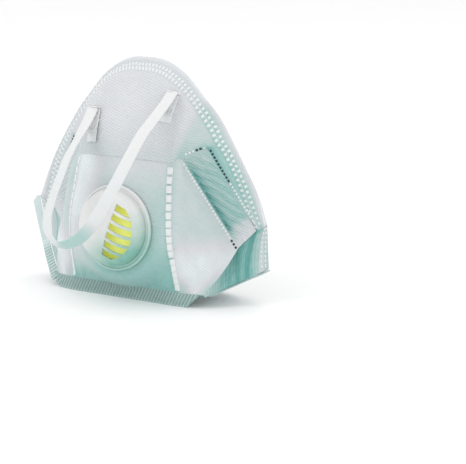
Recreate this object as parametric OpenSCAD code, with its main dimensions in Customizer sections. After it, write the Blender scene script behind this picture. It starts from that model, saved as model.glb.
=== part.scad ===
// Fold-flat disposable dust mask with an exhalation valve and one elastic head strap.
// Frame: +Z up, the front of the mask faces -Y, X across. The origin is the middle of the lower seam's foot.

/* [Mask body] */
// overall width across the widest points of the rim
mask_w = 137; // [115:1:165]
// height from the lower seam to the nose
mask_h = 117; // [95:1:140]
// depth from the valve face to the chin edge
mask_d = 46; // [38:1:56]
// thickness of the outer cover web
cover_t = 0.5; // [0.3:0.1:0.8]
// thickness of the filter layer
filter_t = 1; // [0.6:0.1:1.6]
// thickness of the soft inner liner
liner_t = 0.5; // [0.3:0.1:0.8]
// depth of the recessed side pleats
pleat_depth = 3.4; // [1:0.1:5]
// height of the lower welded seam
seam_h = 7; // [5:0.5:8]

/* [Valve] */
// diameter of the valve flange
valve_d = 42; // [36:1:44]
// how far the cap stands out from the flange
cap_h = 10; // [8.5:0.5:12]
// wall of the moulded cap
cap_wall = 1.2; // [0.9:0.1:1.6]
// number of slots in the cap window
slot_count = 6; // [5:1:8]

/* [Strap] */
// width of the elastic band
strap_w = 6; // [4:0.5:8]
// thickness of the elastic band
strap_t = 1; // [0.8:0.1:1.4]
// place of the strap ends across the upper panel, from the pleat (0) to the middle (1)
anchor_place = 0.43; // [0.25:0.01:0.6]
// height of the strap ends on the upper panel, from the fold (0) to the rim (1)
anchor_rise = 0.525; // [0.4:0.005:0.6]
// how much higher the right end is welded than the left one, halved
anchor_skew = 0.125; // [0:0.005:0.14]

/* [Nose] */
// length of the nose clip and its foam along the edge
clip_share = 0.5; // [0.3:0.05:0.6]
// thickness of the nose clip
clip_t = 0.8; // [0.5:0.1:1]
// thickness of the nose foam
foam_t = 3.5; // [2:0.5:5]

/* [Hidden] */
$fn = 64;
kx = mask_w / 137;
ky = mask_d / 46;
kz = mask_h / 117;
wall = cover_t + filter_t + liner_t;
gap = 0.1;
eps = 0.01;

// key points of the right half, at the standard size
seam_y = -1;
seam_t = 2.1;
chin_gap = seam_t + 0.15;
seam_mid_x = 31;
seam_end_x = 44;
seam_back = 2;
seam_z = seam_h / kz;
function seam_curve(x) =
    seam_y + seam_back * pow(max(0, (abs(x) - seam_mid_x) / (seam_end_x - seam_mid_x)), 1.5);
seam_end = [seam_end_x, seam_curve(seam_end_x), seam_z];
chin_z = seam_z - 1.6;
chin_corner = [seam_end_x, seam_curve(seam_end_x) + chin_gap, chin_z];
weld_top = [27, -1, 70];
pleat_a = [30, 4, 72];
pleat_b = [38.5, 12.5, 77];
pleat_c = [61.5, 21.4, 37];
pleat_d = [53, 18.6, 28];
rim_low = [66.6, 24.6, 18];
fold_mid = [0, -3, 71];
chin_mid = [0, 38, 0];
rim_line = [[68.3, 20.2, 41], [63.2, 20.5, 54.5], [55.8, 20.3, 68], [43.2, 20.8, 88], [33.5, 20.5, 99],
    [25, 20.2, 108], [16.3, 20.1, 113.8], [8, 20, 116.6], [0, 20, 117]];

// mesh counts: every shared edge uses the same count on both sides
n_row = 5;
n_end = 4;
n_mid = 14;
n_up = 7;
n_front = 9;
n_gus = 3;
n_chin = 12;
n_side = n_front + n_end + n_up;

function unit(v) = v / norm(v);
function lerp(a, b, t) = a + (b - a) * t;
function sized(p) = [p[0] * kx, p[1] * ky, p[2] * kz];
function bez(a, m, b, t) = a * (1 - t) * (1 - t) + m * 2 * t * (1 - t) + b * t * t;
function flip(p, s) = [p[0] * s, p[1], p[2]];
function smooth(t) = let (c = max(0, min(1, t))) c * c * (3 - 2 * c);

core_y = 34;
// Inward direction at a point: towards a short core line inside the mask.
function inward(p) =
    let (core = [0.45 * p[0], core_y * ky, (45 + 0.35 * (p[2] / kz - 45)) * kz])
    unit(core - p);

// Rim curve from the side corner (s = 0) to the nose (s = 1), a Catmull-Rom curve.
function cr(a, b, c, d, t) =
    0.5 * (2 * b + (c - a) * t + (2 * a - 5 * b + 4 * c - d) * t * t
        + (3 * b - a - 3 * c + d) * t * t * t);
function rim_at(s) =
    let (n = len(rim_line) - 1, q = min(s * n, n - eps / 10), i = floor(q), t = q - i)
    let (a = rim_line[max(i - 1, 0)], b = rim_line[i], c = rim_line[i + 1])
    let (d = i + 2 > n ? flip(rim_line[n - 1], -1) : rim_line[i + 2])
    s >= 1 ? rim_line[n] : cr(a, b, c, d, t);

// The upper fold line from the pleat's inner corner (q = 0) to the middle (q = 1).
function fold_at(q) =
    q < 0.2 ? lerp(pleat_a, weld_top, q / 0.2)
        : [weld_top[0] * (1 - (q - 0.2) / 0.8), lerp(weld_top[1], fold_mid[1], smooth((q - 0.2) / 0.8)),
            lerp(weld_top[2], fold_mid[2], (q - 0.2) / 0.8)];

// Upper panel: column i runs from the left pleat over the front to the right pleat.
n_cols = 2 * n_row + 2 * n_end + n_mid;
function half_col(i) = i <= n_cols / 2 ? i : n_cols - i;
function col_side(i) = i < n_cols / 2 ? -1 : 1;
function low_edge(k) =
    k <= n_row ? lerp(pleat_c, pleat_b, k / n_row)
        : k <= n_row + n_end ? lerp(pleat_b, pleat_a, (k - n_row) / n_end)
        : fold_at((k - n_row - n_end) / (n_mid / 2));
function rim_share(k) =
    k <= n_row ? 0.3 * k / n_row
        : k <= n_row + n_end ? lerp(0.3, 0.42, (k - n_row) / n_end)
        : lerp(0.42, 1, (k - n_row - n_end) / (n_mid / 2));
function upper_half(k, t) =
    let (a = low_edge(k), b = rim_at(rim_share(k)), c = k / (n_cols / 2))
    let (lift = smooth((c - 0.2) / 0.5))
    let (m = [lerp(a[0], b[0], 0.55) + 2 * (1 - lift),
        lerp(lerp(a[1], b[1], 0.3), a[1] + 6.5, lift), lerp(a[2], b[2], lerp(0.6, 0.7, lift))])
    sized(bez(a, m, b, t));
function upper_pt(i, j) = flip(upper_half(half_col(i), j / n_up), col_side(i));
upper_grid = [for (i = [0:n_cols]) [for (j = [0:n_up]) upper_pt(i, j)]];

// Valve seat plane on the front panel.
valve_y = -8;
valve_z = 37;
valve_tilt = 4;
valve_flat = valve_d / 2 + 3;
valve_blend = 9;
valve_at = sized([0, valve_y, valve_z]);
valve_n = [0, -cos(valve_tilt), sin(valve_tilt)];
function valve_off(p) = (p - valve_at) * valve_n;
function seated(p) =
    let (r = norm([p[0] - valve_at[0], p[2] - valve_at[2]]))
    let (w = 1 - smooth((r - valve_flat) / valve_blend))
    p - valve_n * valve_off(p) * w;

// Front panel with its two side parts, from the lower seam up to the fold line.
n_fcols = 2 * n_row + n_mid;
function fhalf(i) = i <= n_fcols / 2 ? i : n_fcols - i;
function fside(i) = i < n_fcols / 2 ? -1 : 1;
function ftop(k) =
    k <= n_row ? lerp(pleat_d, pleat_a, k / n_row) : fold_at((k - n_row) / (n_mid / 2));
weld_foot = [seam_mid_x, seam_y, seam_z];
foot_x = 34;
side_foot = [foot_x, seam_curve(foot_x), seam_z];
function foot_at(x) = [x, seam_curve(x), seam_z];
function fbot(k) =
    let (q = (k - n_row) / (n_mid / 2))
    k <= n_row ? foot_at(lerp(seam_end_x, foot_x, k / n_row))
        : q < 0.2 ? foot_at(lerp(foot_x, seam_mid_x, q / 0.2))
        : foot_at(seam_mid_x * (1 - (q - 0.2) / 0.8));
edge_bulge = [50, 8.5, 15];
side_bulge = [38, -2.7, 35];
weld_bulge = [30.4, -11, 32];
mid_bulge = [0, -14, 37];
function fmid(k) =
    let (q = (k - n_row) / (n_mid / 2))
    k <= n_row ? lerp(edge_bulge, side_bulge, k / n_row)
        : q < 0.2 ? lerp(side_bulge, weld_bulge, q / 0.2)
        : lerp(weld_bulge, mid_bulge, (q - 0.2) / 0.8);
function front_half(k, t) = seated(sized(bez(fbot(k), fmid(k), ftop(k), t)));
function front_pt(i, j) =
    let (k = fhalf(i), p = front_half(k, j / n_front), e = sized(j == 0 ? fbot(k) : ftop(k)))
    flip(j == 0 || j == n_front ? e : p, fside(i));
front_grid = [for (i = [0:n_fcols]) [for (j = [0:n_front]) front_pt(i, j)]];

// Side pleat: a recessed strip between the front panel's side part and the upper panel.
pleat_inset = 0.008;
pleat_mid = sized((pleat_a + pleat_b + pleat_c + pleat_d) / 4);
function pleat_pt(i, j) =
    let (s = i / n_end, t = j / n_row)
    let (p = sized(lerp(lerp(pleat_a, pleat_b, s), lerp(pleat_d, pleat_c, s), t)))
    let (e = i == 0 ? sized(lerp(pleat_d, pleat_a, 1 - t))
        : i == n_end ? sized(lerp(pleat_c, pleat_b, 1 - t)) : p)
    let (dip = (i > 0 && i < n_end ? 1 : 0) * smooth(t * n_row / 1.01) * smooth((1 - t) * n_row / 1.01))
    let (q = j == 0 ? sized(lerp(pleat_b, pleat_a, 1 - s)) : j == n_row ? gusset_top(n_front + i) : e)
    lerp(q, pleat_mid, pleat_inset) + inward(q) * pleat_depth * dip;
function pleat_grid(side) = [for (i = [0:n_end]) [for (j = [0:n_row]) flip(pleat_pt(i, j), side)]];

// Side gusset: the folded web between the side part, the pleat and the rear edge.
function gusset_top(i) =
    i <= n_front ? flip(front_pt(n_fcols, i), 1)
        : i <= n_front + n_end ? sized(lerp(pleat_d, pleat_c, (i - n_front) / n_end))
        : upper_pt(n_cols, i - n_front - n_end);
function gusset_bot(i) = sized(lerp(chin_corner, rim_low, i / n_side));
fold_count = 3;
function gusset_pt(i, j) =
    let (a = gusset_top(i), b = gusset_bot(i), t = j / n_gus, u = i / n_side)
    let (dent = min(1, 4 * u, 5 * (1 - u)) * (3.2 + 1.3 * sin(360 * fold_count * u)))
    let (p = lerp(a, b, t))
    j == 0 ? a : j == n_gus ? b : p + inward(p) * dent * 4 * t * (1 - t) * min(1, norm(b - a) / 15);
function gusset_grid(side) =
    [for (i = [0:n_side]) [for (j = [0:n_gus]) flip(gusset_pt(i, j), side)]];

// Chin panel, under the chin, from the lower seam back to the face opening.
function chin_edge(s) =
    [rim_low[0] * s, chin_mid[1] - (chin_mid[1] - rim_low[1]) * pow(abs(s), 2.5),
        rim_low[2] * pow(abs(s), 2.2)];
function chin_front(s) = [seam_end_x * s, seam_curve(seam_end_x * s) + chin_gap, chin_z];
function chin_pt(i, j) =
    let (s = 2 * i / n_chin - 1, t = j / n_side)
    let (a = chin_front(s), b = chin_edge(s), m = lerp(a, b, 0.5) - [0, 0, 1.2 * (1 - s * s)])
    i == 0 ? flip(gusset_bot(j), -1) : i == n_chin ? gusset_bot(j) : sized(bez(a, m, b, t));
chin_grid = [for (i = [0:n_chin]) [for (j = [0:n_side]) chin_pt(i, j)]];

// A layer of fabric: the grid's surface moved inward by t0 and by t1.
module layer(grid, t0, t1, side = 1) {
    ni = len(grid) - 1;
    nj = len(grid[0]) - 1;
    w = nj + 1;
    n = (ni + 1) * w;
    pts = concat([for (r = grid) for (p = r) p + inward(p) * t0],
        [for (r = grid) for (p = r) p + inward(p) * t1]);
    skin = [for (i = [0:ni - 1]) for (j = [0:nj - 1])
        let (a = i * w + j, b = a + 1, c = a + w, d = c + 1)
        each [[a, b, d], [a, d, c], [n + a, n + d, n + b], [n + a, n + c, n + d]]];
    ends = [for (j = [0:nj - 1])
        let (a = j, c = ni * w + j)
        each [[a, n + a, n + a + 1], [a, n + a + 1, a + 1],
            [c, n + c + 1, n + c], [c, c + 1, n + c + 1]]];
    rails = [for (i = [0:ni - 1])
        let (a = i * w, c = a + nj)
        each [[a, n + a + w, n + a], [a, a + w, n + a + w],
            [c, n + c, n + c + w], [c, n + c + w, c + w]]];
    faces = concat(skin, ends, rails);
    polyhedron(pts, side > 0 ? faces : [for (f = faces) [f[2], f[1], f[0]]], convexity = 8);
}

// A bar through a list of four-cornered sections.
module bar(rings) {
    n = len(rings);
    k = len(rings[0]);
    pts = [for (r = rings) for (p = r) p];
    walls = [for (i = [0:n - 2]) for (j = [0:k - 1])
        let (a = i * k + j, b = i * k + (j + 1) % k)
        each [[a, b, b + k], [a, b + k, a + k]]];
    first = [for (j = [k - 1:-1:0]) j];
    last = [for (j = [0:k - 1]) (n - 1) * k + j];
    polyhedron(pts, concat(walls, [first], [last]), convexity = 8);
}

cover_in = cover_t;
filter_in = cover_t + filter_t;

module upper_cover() { color("white") layer(upper_grid, 0, cover_in); }
module upper_filter() { color("azure") layer(upper_grid, cover_in, filter_in); }
module upper_liner() { color("ghostwhite") layer(upper_grid, filter_in, wall); }

// Placed on the valve seat: local +Z points out of the mask.
module on_valve() {
    translate(valve_at) rotate([90 - valve_tilt, 0, 0]) children();
}
hub_r = 13.4;
hole_clear = 0.6;
module valve_hole() {
    on_valve() cylinder(r = hub_r + hole_clear, h = 30, center = true);
}
module front_ply(t0, t1) {
    difference() {
        layer(front_grid, t0, t1);
        valve_hole();
    }
}
module front_cover() { color("white") front_ply(0, cover_in); }
module front_filter() { color("azure") front_ply(cover_in, filter_in); }
module front_liner() { color("ghostwhite") front_ply(filter_in, wall); }

module chin_cover() { color("white") layer(chin_grid, 0, cover_in, -1); }
module chin_filter() { color("azure") layer(chin_grid, cover_in, filter_in, -1); }
module chin_liner() { color("ghostwhite") layer(chin_grid, filter_in, wall, -1); }

module pleat_ply(side, t0, t1) { layer(pleat_grid(side), t0, t1, -side); }
module pleat_right_cover() { color("mediumturquoise") pleat_ply(1, 0, cover_in); }
module pleat_right_filter() { color("azure") pleat_ply(1, cover_in, filter_in); }
module pleat_right_liner() { color("ghostwhite") pleat_ply(1, filter_in, wall); }
module pleat_left_cover() { color("mediumturquoise") pleat_ply(-1, 0, cover_in); }
module pleat_left_filter() { color("azure") pleat_ply(-1, cover_in, filter_in); }
module pleat_left_liner() { color("ghostwhite") pleat_ply(-1, filter_in, wall); }

module gusset_ply(side, t0, t1) { layer(gusset_grid(side), t0, t1, -side); }
module gusset_right_cover() { color("mediumturquoise") gusset_ply(1, 0, cover_in); }
module gusset_right_filter() { color("azure") gusset_ply(1, cover_in, filter_in); }
module gusset_right_liner() { color("ghostwhite") gusset_ply(1, filter_in, wall); }
module gusset_left_cover() { color("mediumturquoise") gusset_ply(-1, 0, cover_in); }
module gusset_left_filter() { color("azure") gusset_ply(-1, cover_in, filter_in); }
module gusset_left_liner() { color("ghostwhite") gusset_ply(-1, filter_in, wall); }

// Lower seam: the welded hem that the mask stands on, with chamfered ends.
seam_top = seam_h - 0.2;
seam_steps = 24;
seam_inset = 2.2;
module lower_seam() {
    xs = [for (i = [0:seam_steps]) seam_end_x * (2 * i / seam_steps - 1)];
    front = [for (x = xs) [x * kx, seam_curve(x) * ky]];
    rear = [for (i = [seam_steps:-1:0]) [front[i][0], front[i][1] + seam_t * ky]];
    half = (seam_end_x - seam_inset) * kx;
    chamfer = seam_top - 1;
    color("darkseagreen")
        intersection() {
            linear_extrude(seam_top) polygon(concat(front, rear));
            translate([0, 30, 0]) rotate([90, 0, 0]) linear_extrude(60)
                polygon([[-half + chamfer, 0], [half - chamfer, 0], [half, chamfer],
                    [half, seam_top], [-half, seam_top], [-half, chamfer]]);
        }
}

// Side seams: the left one stands out up to the rim, the right one is tucked under the chin.
side_seam_w = 4.6;
side_seam_t = 1;
function side_seam_path(i) = i <= n_side ? gusset_bot(i)
    : lerp(gusset_bot(n_side), gusset_top(n_side), (i - n_side) / n_up);
module left_side_seam() {
    last = n_side + n_up;
    color("darkseagreen")
        bar([for (i = [0:last])
            let (p = flip(side_seam_path(i), -1), d = -inward(p))
            let (run = flip(side_seam_path(min(i + 1, last)), -1) - flip(side_seam_path(max(i - 1, 0)), -1))
            let (q = unit(cross(d, run)) * side_seam_t / 2)
            let (w = side_seam_w * smooth((i + 4) / 5) * (1 - 0.6 * smooth((i - last + 2) / 2)))
            [p + d * gap - q, p + d * w - q, p + d * w + q, p + d * gap + q]]);
}
module right_side_seam() {
    last = n_chin;
    color("darkseagreen")
        bar([for (j = [2:2:n_side])
            let (p = chin_pt(last, j), q = lerp(p, chin_pt(last - 1, j), 0.6))
            let (dp = inward(p), dq = inward(q))
            [p - dp * (side_seam_t + 0.3), p - dp * 0.3, q - dq * 0.3, q - dq * (side_seam_t + 0.3)]]);
}

// Weld rows: thin raised rows on the outer cover along the rim and around the pleats.
row_w = 1.6;
row_gap = 3;
row_rise = 0.3;
rim_margin = 4.2;
function upper_far(i, far) =
    let (k = half_col(i), t = 1 - min(0.9, far / path_len(i)))
    flip(upper_half(k, t), col_side(i));
function path_len(i) =
    let (p = [for (j = [0:n_up]) upper_pt(i, j)])
    norm(p[1] - p[0]) + norm(p[2] - p[1]) + norm(p[3] - p[2]) + norm(p[4] - p[3])
        + norm(p[5] - p[4]) + norm(p[6] - p[5]) + norm(p[7] - p[6]);
module rim_row(far) {
    skip = 1;
    bar([for (i = [skip:n_cols - skip])
        let (p = upper_far(i, far), q = upper_far(i, far + row_w))
        let (dp = inward(p), dq = inward(q))
        [q - dq * (row_rise + 0.25), p - dp * (row_rise + 0.25), p - dp * 0.25, q - dq * 0.25]]);
}
module rim_weld_outer() { color("whitesmoke") rim_row(rim_margin); }
module rim_weld_inner() { color("whitesmoke") rim_row(rim_margin + row_gap); }

// Front weld: a dashed line down each side of the front panel.
dash_count = 16;
dash_w = 2.8;
dash_fill = 0.84;
module front_weld(side) {
    k = n_row + 0.2 * n_mid / 2;
    step = 1 / (dash_count + 0.5);
    for (i = [0:dash_count - 1]) {
        t0 = (i + 0.4) * step;
        t1 = t0 + step * dash_fill;
        a = flip(front_half(k, t0), side);
        b = flip(front_half(k, t1), side);
        d = inward((a + b) / 2);
        w = unit(cross(b - a, d)) * dash_w / 2;
        lift = 0.5;
        bar([[a + w - d * lift, a - w - d * lift, a - w - d * (lift + row_rise), a + w - d * (lift + row_rise)],
            [b + w - d * lift, b - w - d * lift, b - w - d * (lift + row_rise), b + w - d * (lift + row_rise)]]);
    }
}
module front_weld_right() { color("white") front_weld(1); }
module front_weld_left() { color("white") front_weld(-1); }

// Nose clip and nose foam, on the inside under the upper edge.
function inner_strip(t, d) = [for (i = [0:n_cols])
    let (k = half_col(i), s = rim_share(k))
    if (s >= 1 - clip_share) let (p = flip(upper_half(k, t), col_side(i))) p + inward(p) * d];
module nose_strip(t0, t1, d0, d1) {
    a = inner_strip(t0, d0);
    b = inner_strip(t1, d0);
    c = inner_strip(t1, d1);
    e = inner_strip(t0, d1);
    bar([for (i = [0:len(a) - 1]) [e[i], c[i], b[i], a[i]]]);
}
clip_lift = 0.5;
foam_gap = 0.15;
module nose_clip() { color("silver") nose_strip(0.86, 0.93, wall + clip_lift, wall + clip_lift + clip_t); }
module nose_foam() {
    d = wall + clip_lift + clip_t + foam_gap;
    color("white") nose_strip(0.8, 0.97, d, d + foam_t);
}

// Valve base: flange, hub through the panel, seat ring and port spokes.
flange_t = 1.2;
seat_top = 2;
cap_r = valve_d / 2 - 2.4;
flap_margin = 2.3;
flap_r = cap_r - cap_wall - flap_margin;
seat_r = flap_r - 0.2;
port_r = 10.6;
seat_lift = 0.45;
module valve_base() {
    spoke_w = 1.2;
    spoke_h = 1.2;
    color("white") on_valve() translate([0, 0, seat_lift]) {
        difference() {
            union() {
                cylinder(r = valve_d / 2, h = flange_t);
                translate([0, 0, -wall - 3.2]) cylinder(r = hub_r, h = wall + 3.2 + eps);
                cylinder(r = seat_r, h = seat_top);
                translate([-seat_r - 0.6, -5, 0]) cube([3.4, 10, seat_top]);
            }
            translate([0, 0, -wall - 4]) cylinder(r = port_r, h = wall + 4 + seat_top + 1);
        }
        for (a = [0:60:120])
            rotate([0, 0, a]) translate([-port_r - 0.2, -spoke_w / 2, -1.4])
                cube([2 * port_r + 0.4, spoke_w, spoke_h]);
    }
}

// Clamp ring: holds the panel against the flange from inside.
ring_t = 1.4;
module valve_clamp_ring() {
    color("white") on_valve() translate([0, 0, seat_lift - wall - 1.4 - ring_t]) {
        difference() {
            cylinder(r = valve_d / 2 - 3, h = ring_t);
            translate([0, 0, -1]) cylinder(r = hub_r + 0.05, h = ring_t + 2);
        }
    }
}

// Flap: a thin rubber disc held at its left edge.
flap_t = 0.45;
hinge_x = -10.6;
flap_z = seat_lift + seat_top + 0.05;
module valve_flap() {
    color("khaki") on_valve() translate([0, 0, flap_z]) {
        intersection() {
            cylinder(r = flap_r, h = flap_t);
            translate([hinge_x, -flap_r, -1]) cube([2 * flap_r, 2 * flap_r, 3]);
        }
    }
}

// Flap clip: the bar that pins the flap's edge down on the seat.
module flap_clip() {
    color("white") on_valve() translate([0, 0, flap_z]) {
        translate([hinge_x - 2.4, -4.6, 0]) cube([2.1, 9.2, 1.7]);
    }
}

// Cap: a domed cover with a D-shaped window of slanted slots over the flap's free side.
dome_drop = 3.6;
cap_base = seat_lift + flange_t + 0.1;
function cap_out(r) = cap_h - dome_drop * pow(r / cap_r, 2.2);
module cap_shell() {
    n = 10;
    edge = 1.4;
    rotate_extrude($fn = 96)
        polygon(concat(
            [for (i = [0:n]) let (r = (cap_r - edge) * i / n) [r, cap_out(r)]],
            [[cap_r - 0.4, cap_h - dome_drop - 0.7], [cap_r, cap_h - dome_drop - 1.8],
                [cap_r, cap_base], [cap_r - cap_wall, cap_base],
                [cap_r - cap_wall, cap_h - dome_drop - 2]],
            [for (i = [n:-1:0]) let (r = (cap_r - edge - cap_wall) * i / n) [r, cap_out(r) - cap_wall]]));
}
slot_span = 0.80;
slot_bow = 30;
slot_lean = -17;
module cap_slots() {
    win_r = cap_r * slot_span;
    pitch = 2 * win_r / (slot_count + 0.4);
    bar_share = 0.3;
    intersection() {
        rotate([0, 0, slot_lean])
            for (i = [0:slot_count - 1])
                translate([win_r / 2, -win_r + (i + 0.35) * pitch + slot_bow, cap_h / 3])
                    difference() {
                        cylinder(r = slot_bow, h = cap_h, $fn = 96);
                        translate([0, 0, -1])
                            cylinder(r = slot_bow - pitch * (1 - bar_share), h = cap_h + 2, $fn = 96);
                    }
        translate([0, 0, cap_h / 3]) intersection() {
            cylinder(r = win_r, h = cap_h, $fn = 64);
            rotate([0, 0, slot_lean]) translate([1.6, -cap_r, 0]) cube([cap_r, 2 * cap_r, cap_h]);
        }
    }
}
module valve_cap() {
    color("white") on_valve() difference() {
        cap_shell();
        cap_slots();
    }
}

// Strap ends: welded patches on the upper panel, the strap folds over at their top.
anchor_lift = 3;
anchor_col = n_row + n_end + anchor_place * n_mid / 2;
function anchor_t(side) = anchor_rise + anchor_skew * side;
function anchor(side) =
    let (p = flip(upper_half(anchor_col, anchor_t(side)), side))
    p - inward(p) * anchor_lift;
patch_half = 0.75;
patch_share = 0.3;
patch_steps = 4;
patch_lift = 0.3;
patch_t = 0.7;
module strap_patch(side) {
    color("white")
        bar([for (i = [0:patch_steps])
            let (t = anchor_t(side) - patch_share * (1 - i / patch_steps))
            let (p = flip(upper_half(anchor_col - patch_half, t), side))
            let (q = flip(upper_half(anchor_col + patch_half, t), side))
            let (a = side > 0 ? q : p, b = side > 0 ? p : q, d = inward((a + b) / 2))
            [a - d * patch_lift, b - d * patch_lift,
                b - d * (patch_lift + patch_t), a - d * (patch_lift + patch_t)]]);
}
module strap_patch_right() { strap_patch(1); }
module strap_patch_left() { strap_patch(-1); }

// Head strap: one flat elastic loop; its route is a list of points from the right end to the left.
strap_route = [[21.6, 4.6, 98.6], [21.2, -4, 92.6], [20.3, -15, 84.5],
    [18.5, -25, 72.5], [16.5, -32.5, 62], [13, -38.8, 51], [6.5, -42.8, 40.5],
    [-1, -43.6, 35.5], [-7.5, -44.5, 34.5], [-12, -45, 38.5], [-13.5, -44.5, 46],
    [-14.5, -39.5, 54], [-16, -31, 63.5], [-18, -21, 73], [-20.3, -8.5, 81.2],
    [-21.2, -0.5, 87.6]];
function strap_line() = concat([anchor(1)], [for (p = strap_route) sized(p)], [anchor(-1)]);
strap_fine = 3;
strap_pts = let (s = strap_line(), n = len(s) - 1)
    [for (i = [0:n - 1]) for (j = [0:strap_fine - 1])
        cr(s[max(i - 1, 0)], s[i], s[i + 1], s[min(i + 2, n)], j / strap_fine), s[n]];
strap_clear = 1;
strap_top = 98;
strap_bottom = 30;
module head_strap() {
    n = len(strap_pts) - 1;
    color("white")
        bar([for (i = [0:n])
            let (t = unit(strap_pts[min(i + 1, n)] - strap_pts[max(i - 1, 0)]))
            let (p = strap_pts[i] + t * (i == 0 ? strap_clear : i == n ? -strap_clear : 0))
            let (f = smooth((strap_top - p[2] / kz) / (strap_top - strap_bottom)))
            let (w = unit(cross([0, -1 + 0.3 * f, -0.72 * f], t)) * strap_w / 2)
            let (h = unit(cross(t, w)) * strap_t / 2)
            [p - w - h, p - w + h, p + w + h, p + w - h]]);
}

upper_cover();
upper_filter();
upper_liner();
front_cover();
front_filter();
front_liner();
chin_cover();
chin_filter();
chin_liner();
pleat_left_cover();
pleat_left_filter();
pleat_left_liner();
pleat_right_cover();
pleat_right_filter();
pleat_right_liner();
gusset_left_cover();
gusset_left_filter();
gusset_left_liner();
gusset_right_cover();
gusset_right_filter();
gusset_right_liner();
lower_seam();
left_side_seam();
right_side_seam();
rim_weld_outer();
rim_weld_inner();
front_weld_left();
front_weld_right();
nose_clip();
nose_foam();
valve_base();
valve_clamp_ring();
valve_flap();
flap_clip();
valve_cap();
strap_patch_left();
strap_patch_right();
head_strap();
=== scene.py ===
"""Looks of a fold-flat dust mask with an exhalation valve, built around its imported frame."""

import functools
import math

import bmesh
import bpy
import numpy as np
from mathutils import Matrix, Vector


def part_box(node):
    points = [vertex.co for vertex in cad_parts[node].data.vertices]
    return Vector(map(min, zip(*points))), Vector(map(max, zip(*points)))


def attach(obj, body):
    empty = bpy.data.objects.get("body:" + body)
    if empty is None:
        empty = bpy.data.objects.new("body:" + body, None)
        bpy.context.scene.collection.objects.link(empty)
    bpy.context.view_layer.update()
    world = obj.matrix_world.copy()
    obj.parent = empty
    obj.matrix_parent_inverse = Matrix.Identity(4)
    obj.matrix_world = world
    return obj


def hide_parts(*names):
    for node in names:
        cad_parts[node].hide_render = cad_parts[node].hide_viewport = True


bl_info = {
    "name": "Valved Dust Mask",
    "version": (1, 0, 0),
    "blender": (4, 5, 0),
    "location": "View3D > Sidebar > Mask",
    "description": "Builds the fabric, welds, valve and strap of a fold-flat dust mask",
    "category": "Object",
}

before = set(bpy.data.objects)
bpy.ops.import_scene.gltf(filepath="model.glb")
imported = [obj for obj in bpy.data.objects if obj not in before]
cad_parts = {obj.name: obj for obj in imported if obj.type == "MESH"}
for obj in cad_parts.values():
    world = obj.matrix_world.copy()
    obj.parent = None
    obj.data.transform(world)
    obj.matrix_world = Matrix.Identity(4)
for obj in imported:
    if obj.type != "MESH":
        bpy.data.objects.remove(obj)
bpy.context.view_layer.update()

MM = 0.001
SHELL = "shell"
STRAP = "strap"
FLAP = "flap"

# The frame's own size against the standard mask: 136.6 mm wide, 38 mm to the chin, 117 mm high.
UPPER_LOW, UPPER_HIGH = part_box("upper_cover")
CHIN_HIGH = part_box("chin_cover")[1]
KX = (UPPER_HIGH.x - UPPER_LOW.x) / 0.1366
KY = CHIN_HIGH.y / 0.038
KZ = UPPER_HIGH.z / 0.117
SIZE = np.array([KX, KY, KZ])

# Layers of the web, in millimetres from the outside.
COVER = 0.5
FILTER = 1.5
WALL = 2.0

# Key points of the right half, in millimetres at the standard size.
SEAM_Y = -1.0
SEAM_T = 2.1
SEAM_H = 7.0
SEAM_MID = 31.0
SEAM_END = 44.0
SEAM_BACK = 2.0
CHIN_GAP = SEAM_T + 0.15
CHIN_Z = SEAM_H - 1.6
WELD_TOP = np.array([27.0, -1.0, 70.0])
PLEAT_A = np.array([30.0, 4.0, 72.0])
PLEAT_B = np.array([38.5, 12.5, 77.0])
PLEAT_C = np.array([61.5, 21.4, 37.0])
PLEAT_D = np.array([53.0, 18.6, 28.0])
RIM_LOW = np.array([66.6, 24.6, 18.0])
FOLD_MID = np.array([0.0, -3.0, 71.0])
CHIN_MID = np.array([0.0, 38.0, 0.0])
RIM_LINE = np.array([
    [68.3, 20.2, 41.0], [63.2, 20.5, 54.5], [55.8, 20.3, 68.0], [43.2, 20.8, 88.0],
    [33.5, 20.5, 99.0], [25.0, 20.2, 108.0], [16.3, 20.1, 113.8], [8.0, 20.0, 116.6],
    [0.0, 20.0, 117.0]])
CORE_Y = 34.0
N_ROW = 5
N_END = 4
N_HALF = 7
UPPER_COLS = N_ROW + N_END + N_HALF
FRONT_COLS = N_ROW + N_HALF
WELD_COL = N_ROW + 0.2 * N_HALF
FOOT_X = 34.0
EDGE_BULGE = np.array([50.0, 8.5, 15.0])
SIDE_BULGE = np.array([38.0, -2.7, 35.0])
WELD_BULGE = np.array([30.4, -11.0, 32.0])
MID_BULGE = np.array([0.0, -14.0, 37.0])
PLEAT_DEPTH = 3.4

# The valve's seat on the front panel.
VALVE_AT = np.array([0.0, -8.0 * KY, 37.0 * KZ])
VALVE_TILT = math.radians(4)
VALVE_N = np.array([0.0, -math.cos(VALVE_TILT), math.sin(VALVE_TILT)])
VALVE_FLAT = 24.0
VALVE_BLEND = 9.0
HOLE_R = 14.0

# Rows of welds along the rim, in millimetres in from the edge.
RIM_ROWS = (5.0, 8.0)

# Weld pads: the outline of one with unit half sides, then length, width and rise of each kind.
PAD_OUTLINE = (
    (1, 0.72), (0.76, 1), (-0.76, 1), (-1, 0.72), (-1, -0.72), (-0.76, -1), (0.76, -1),
    (1, -0.72))
RIM_PAD = (1.3, 2.1, 0.2)
DASH_PAD = (3.5, 2.9, 0.62)
PRESSED_DASH_PAD = (3.5, 1.5, 0.16)
DASHES = 16

# Angles, in degrees, up to which a mesh's edges look soft.
SHEET_SOFT = 40
PAD_SOFT = 50

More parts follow.
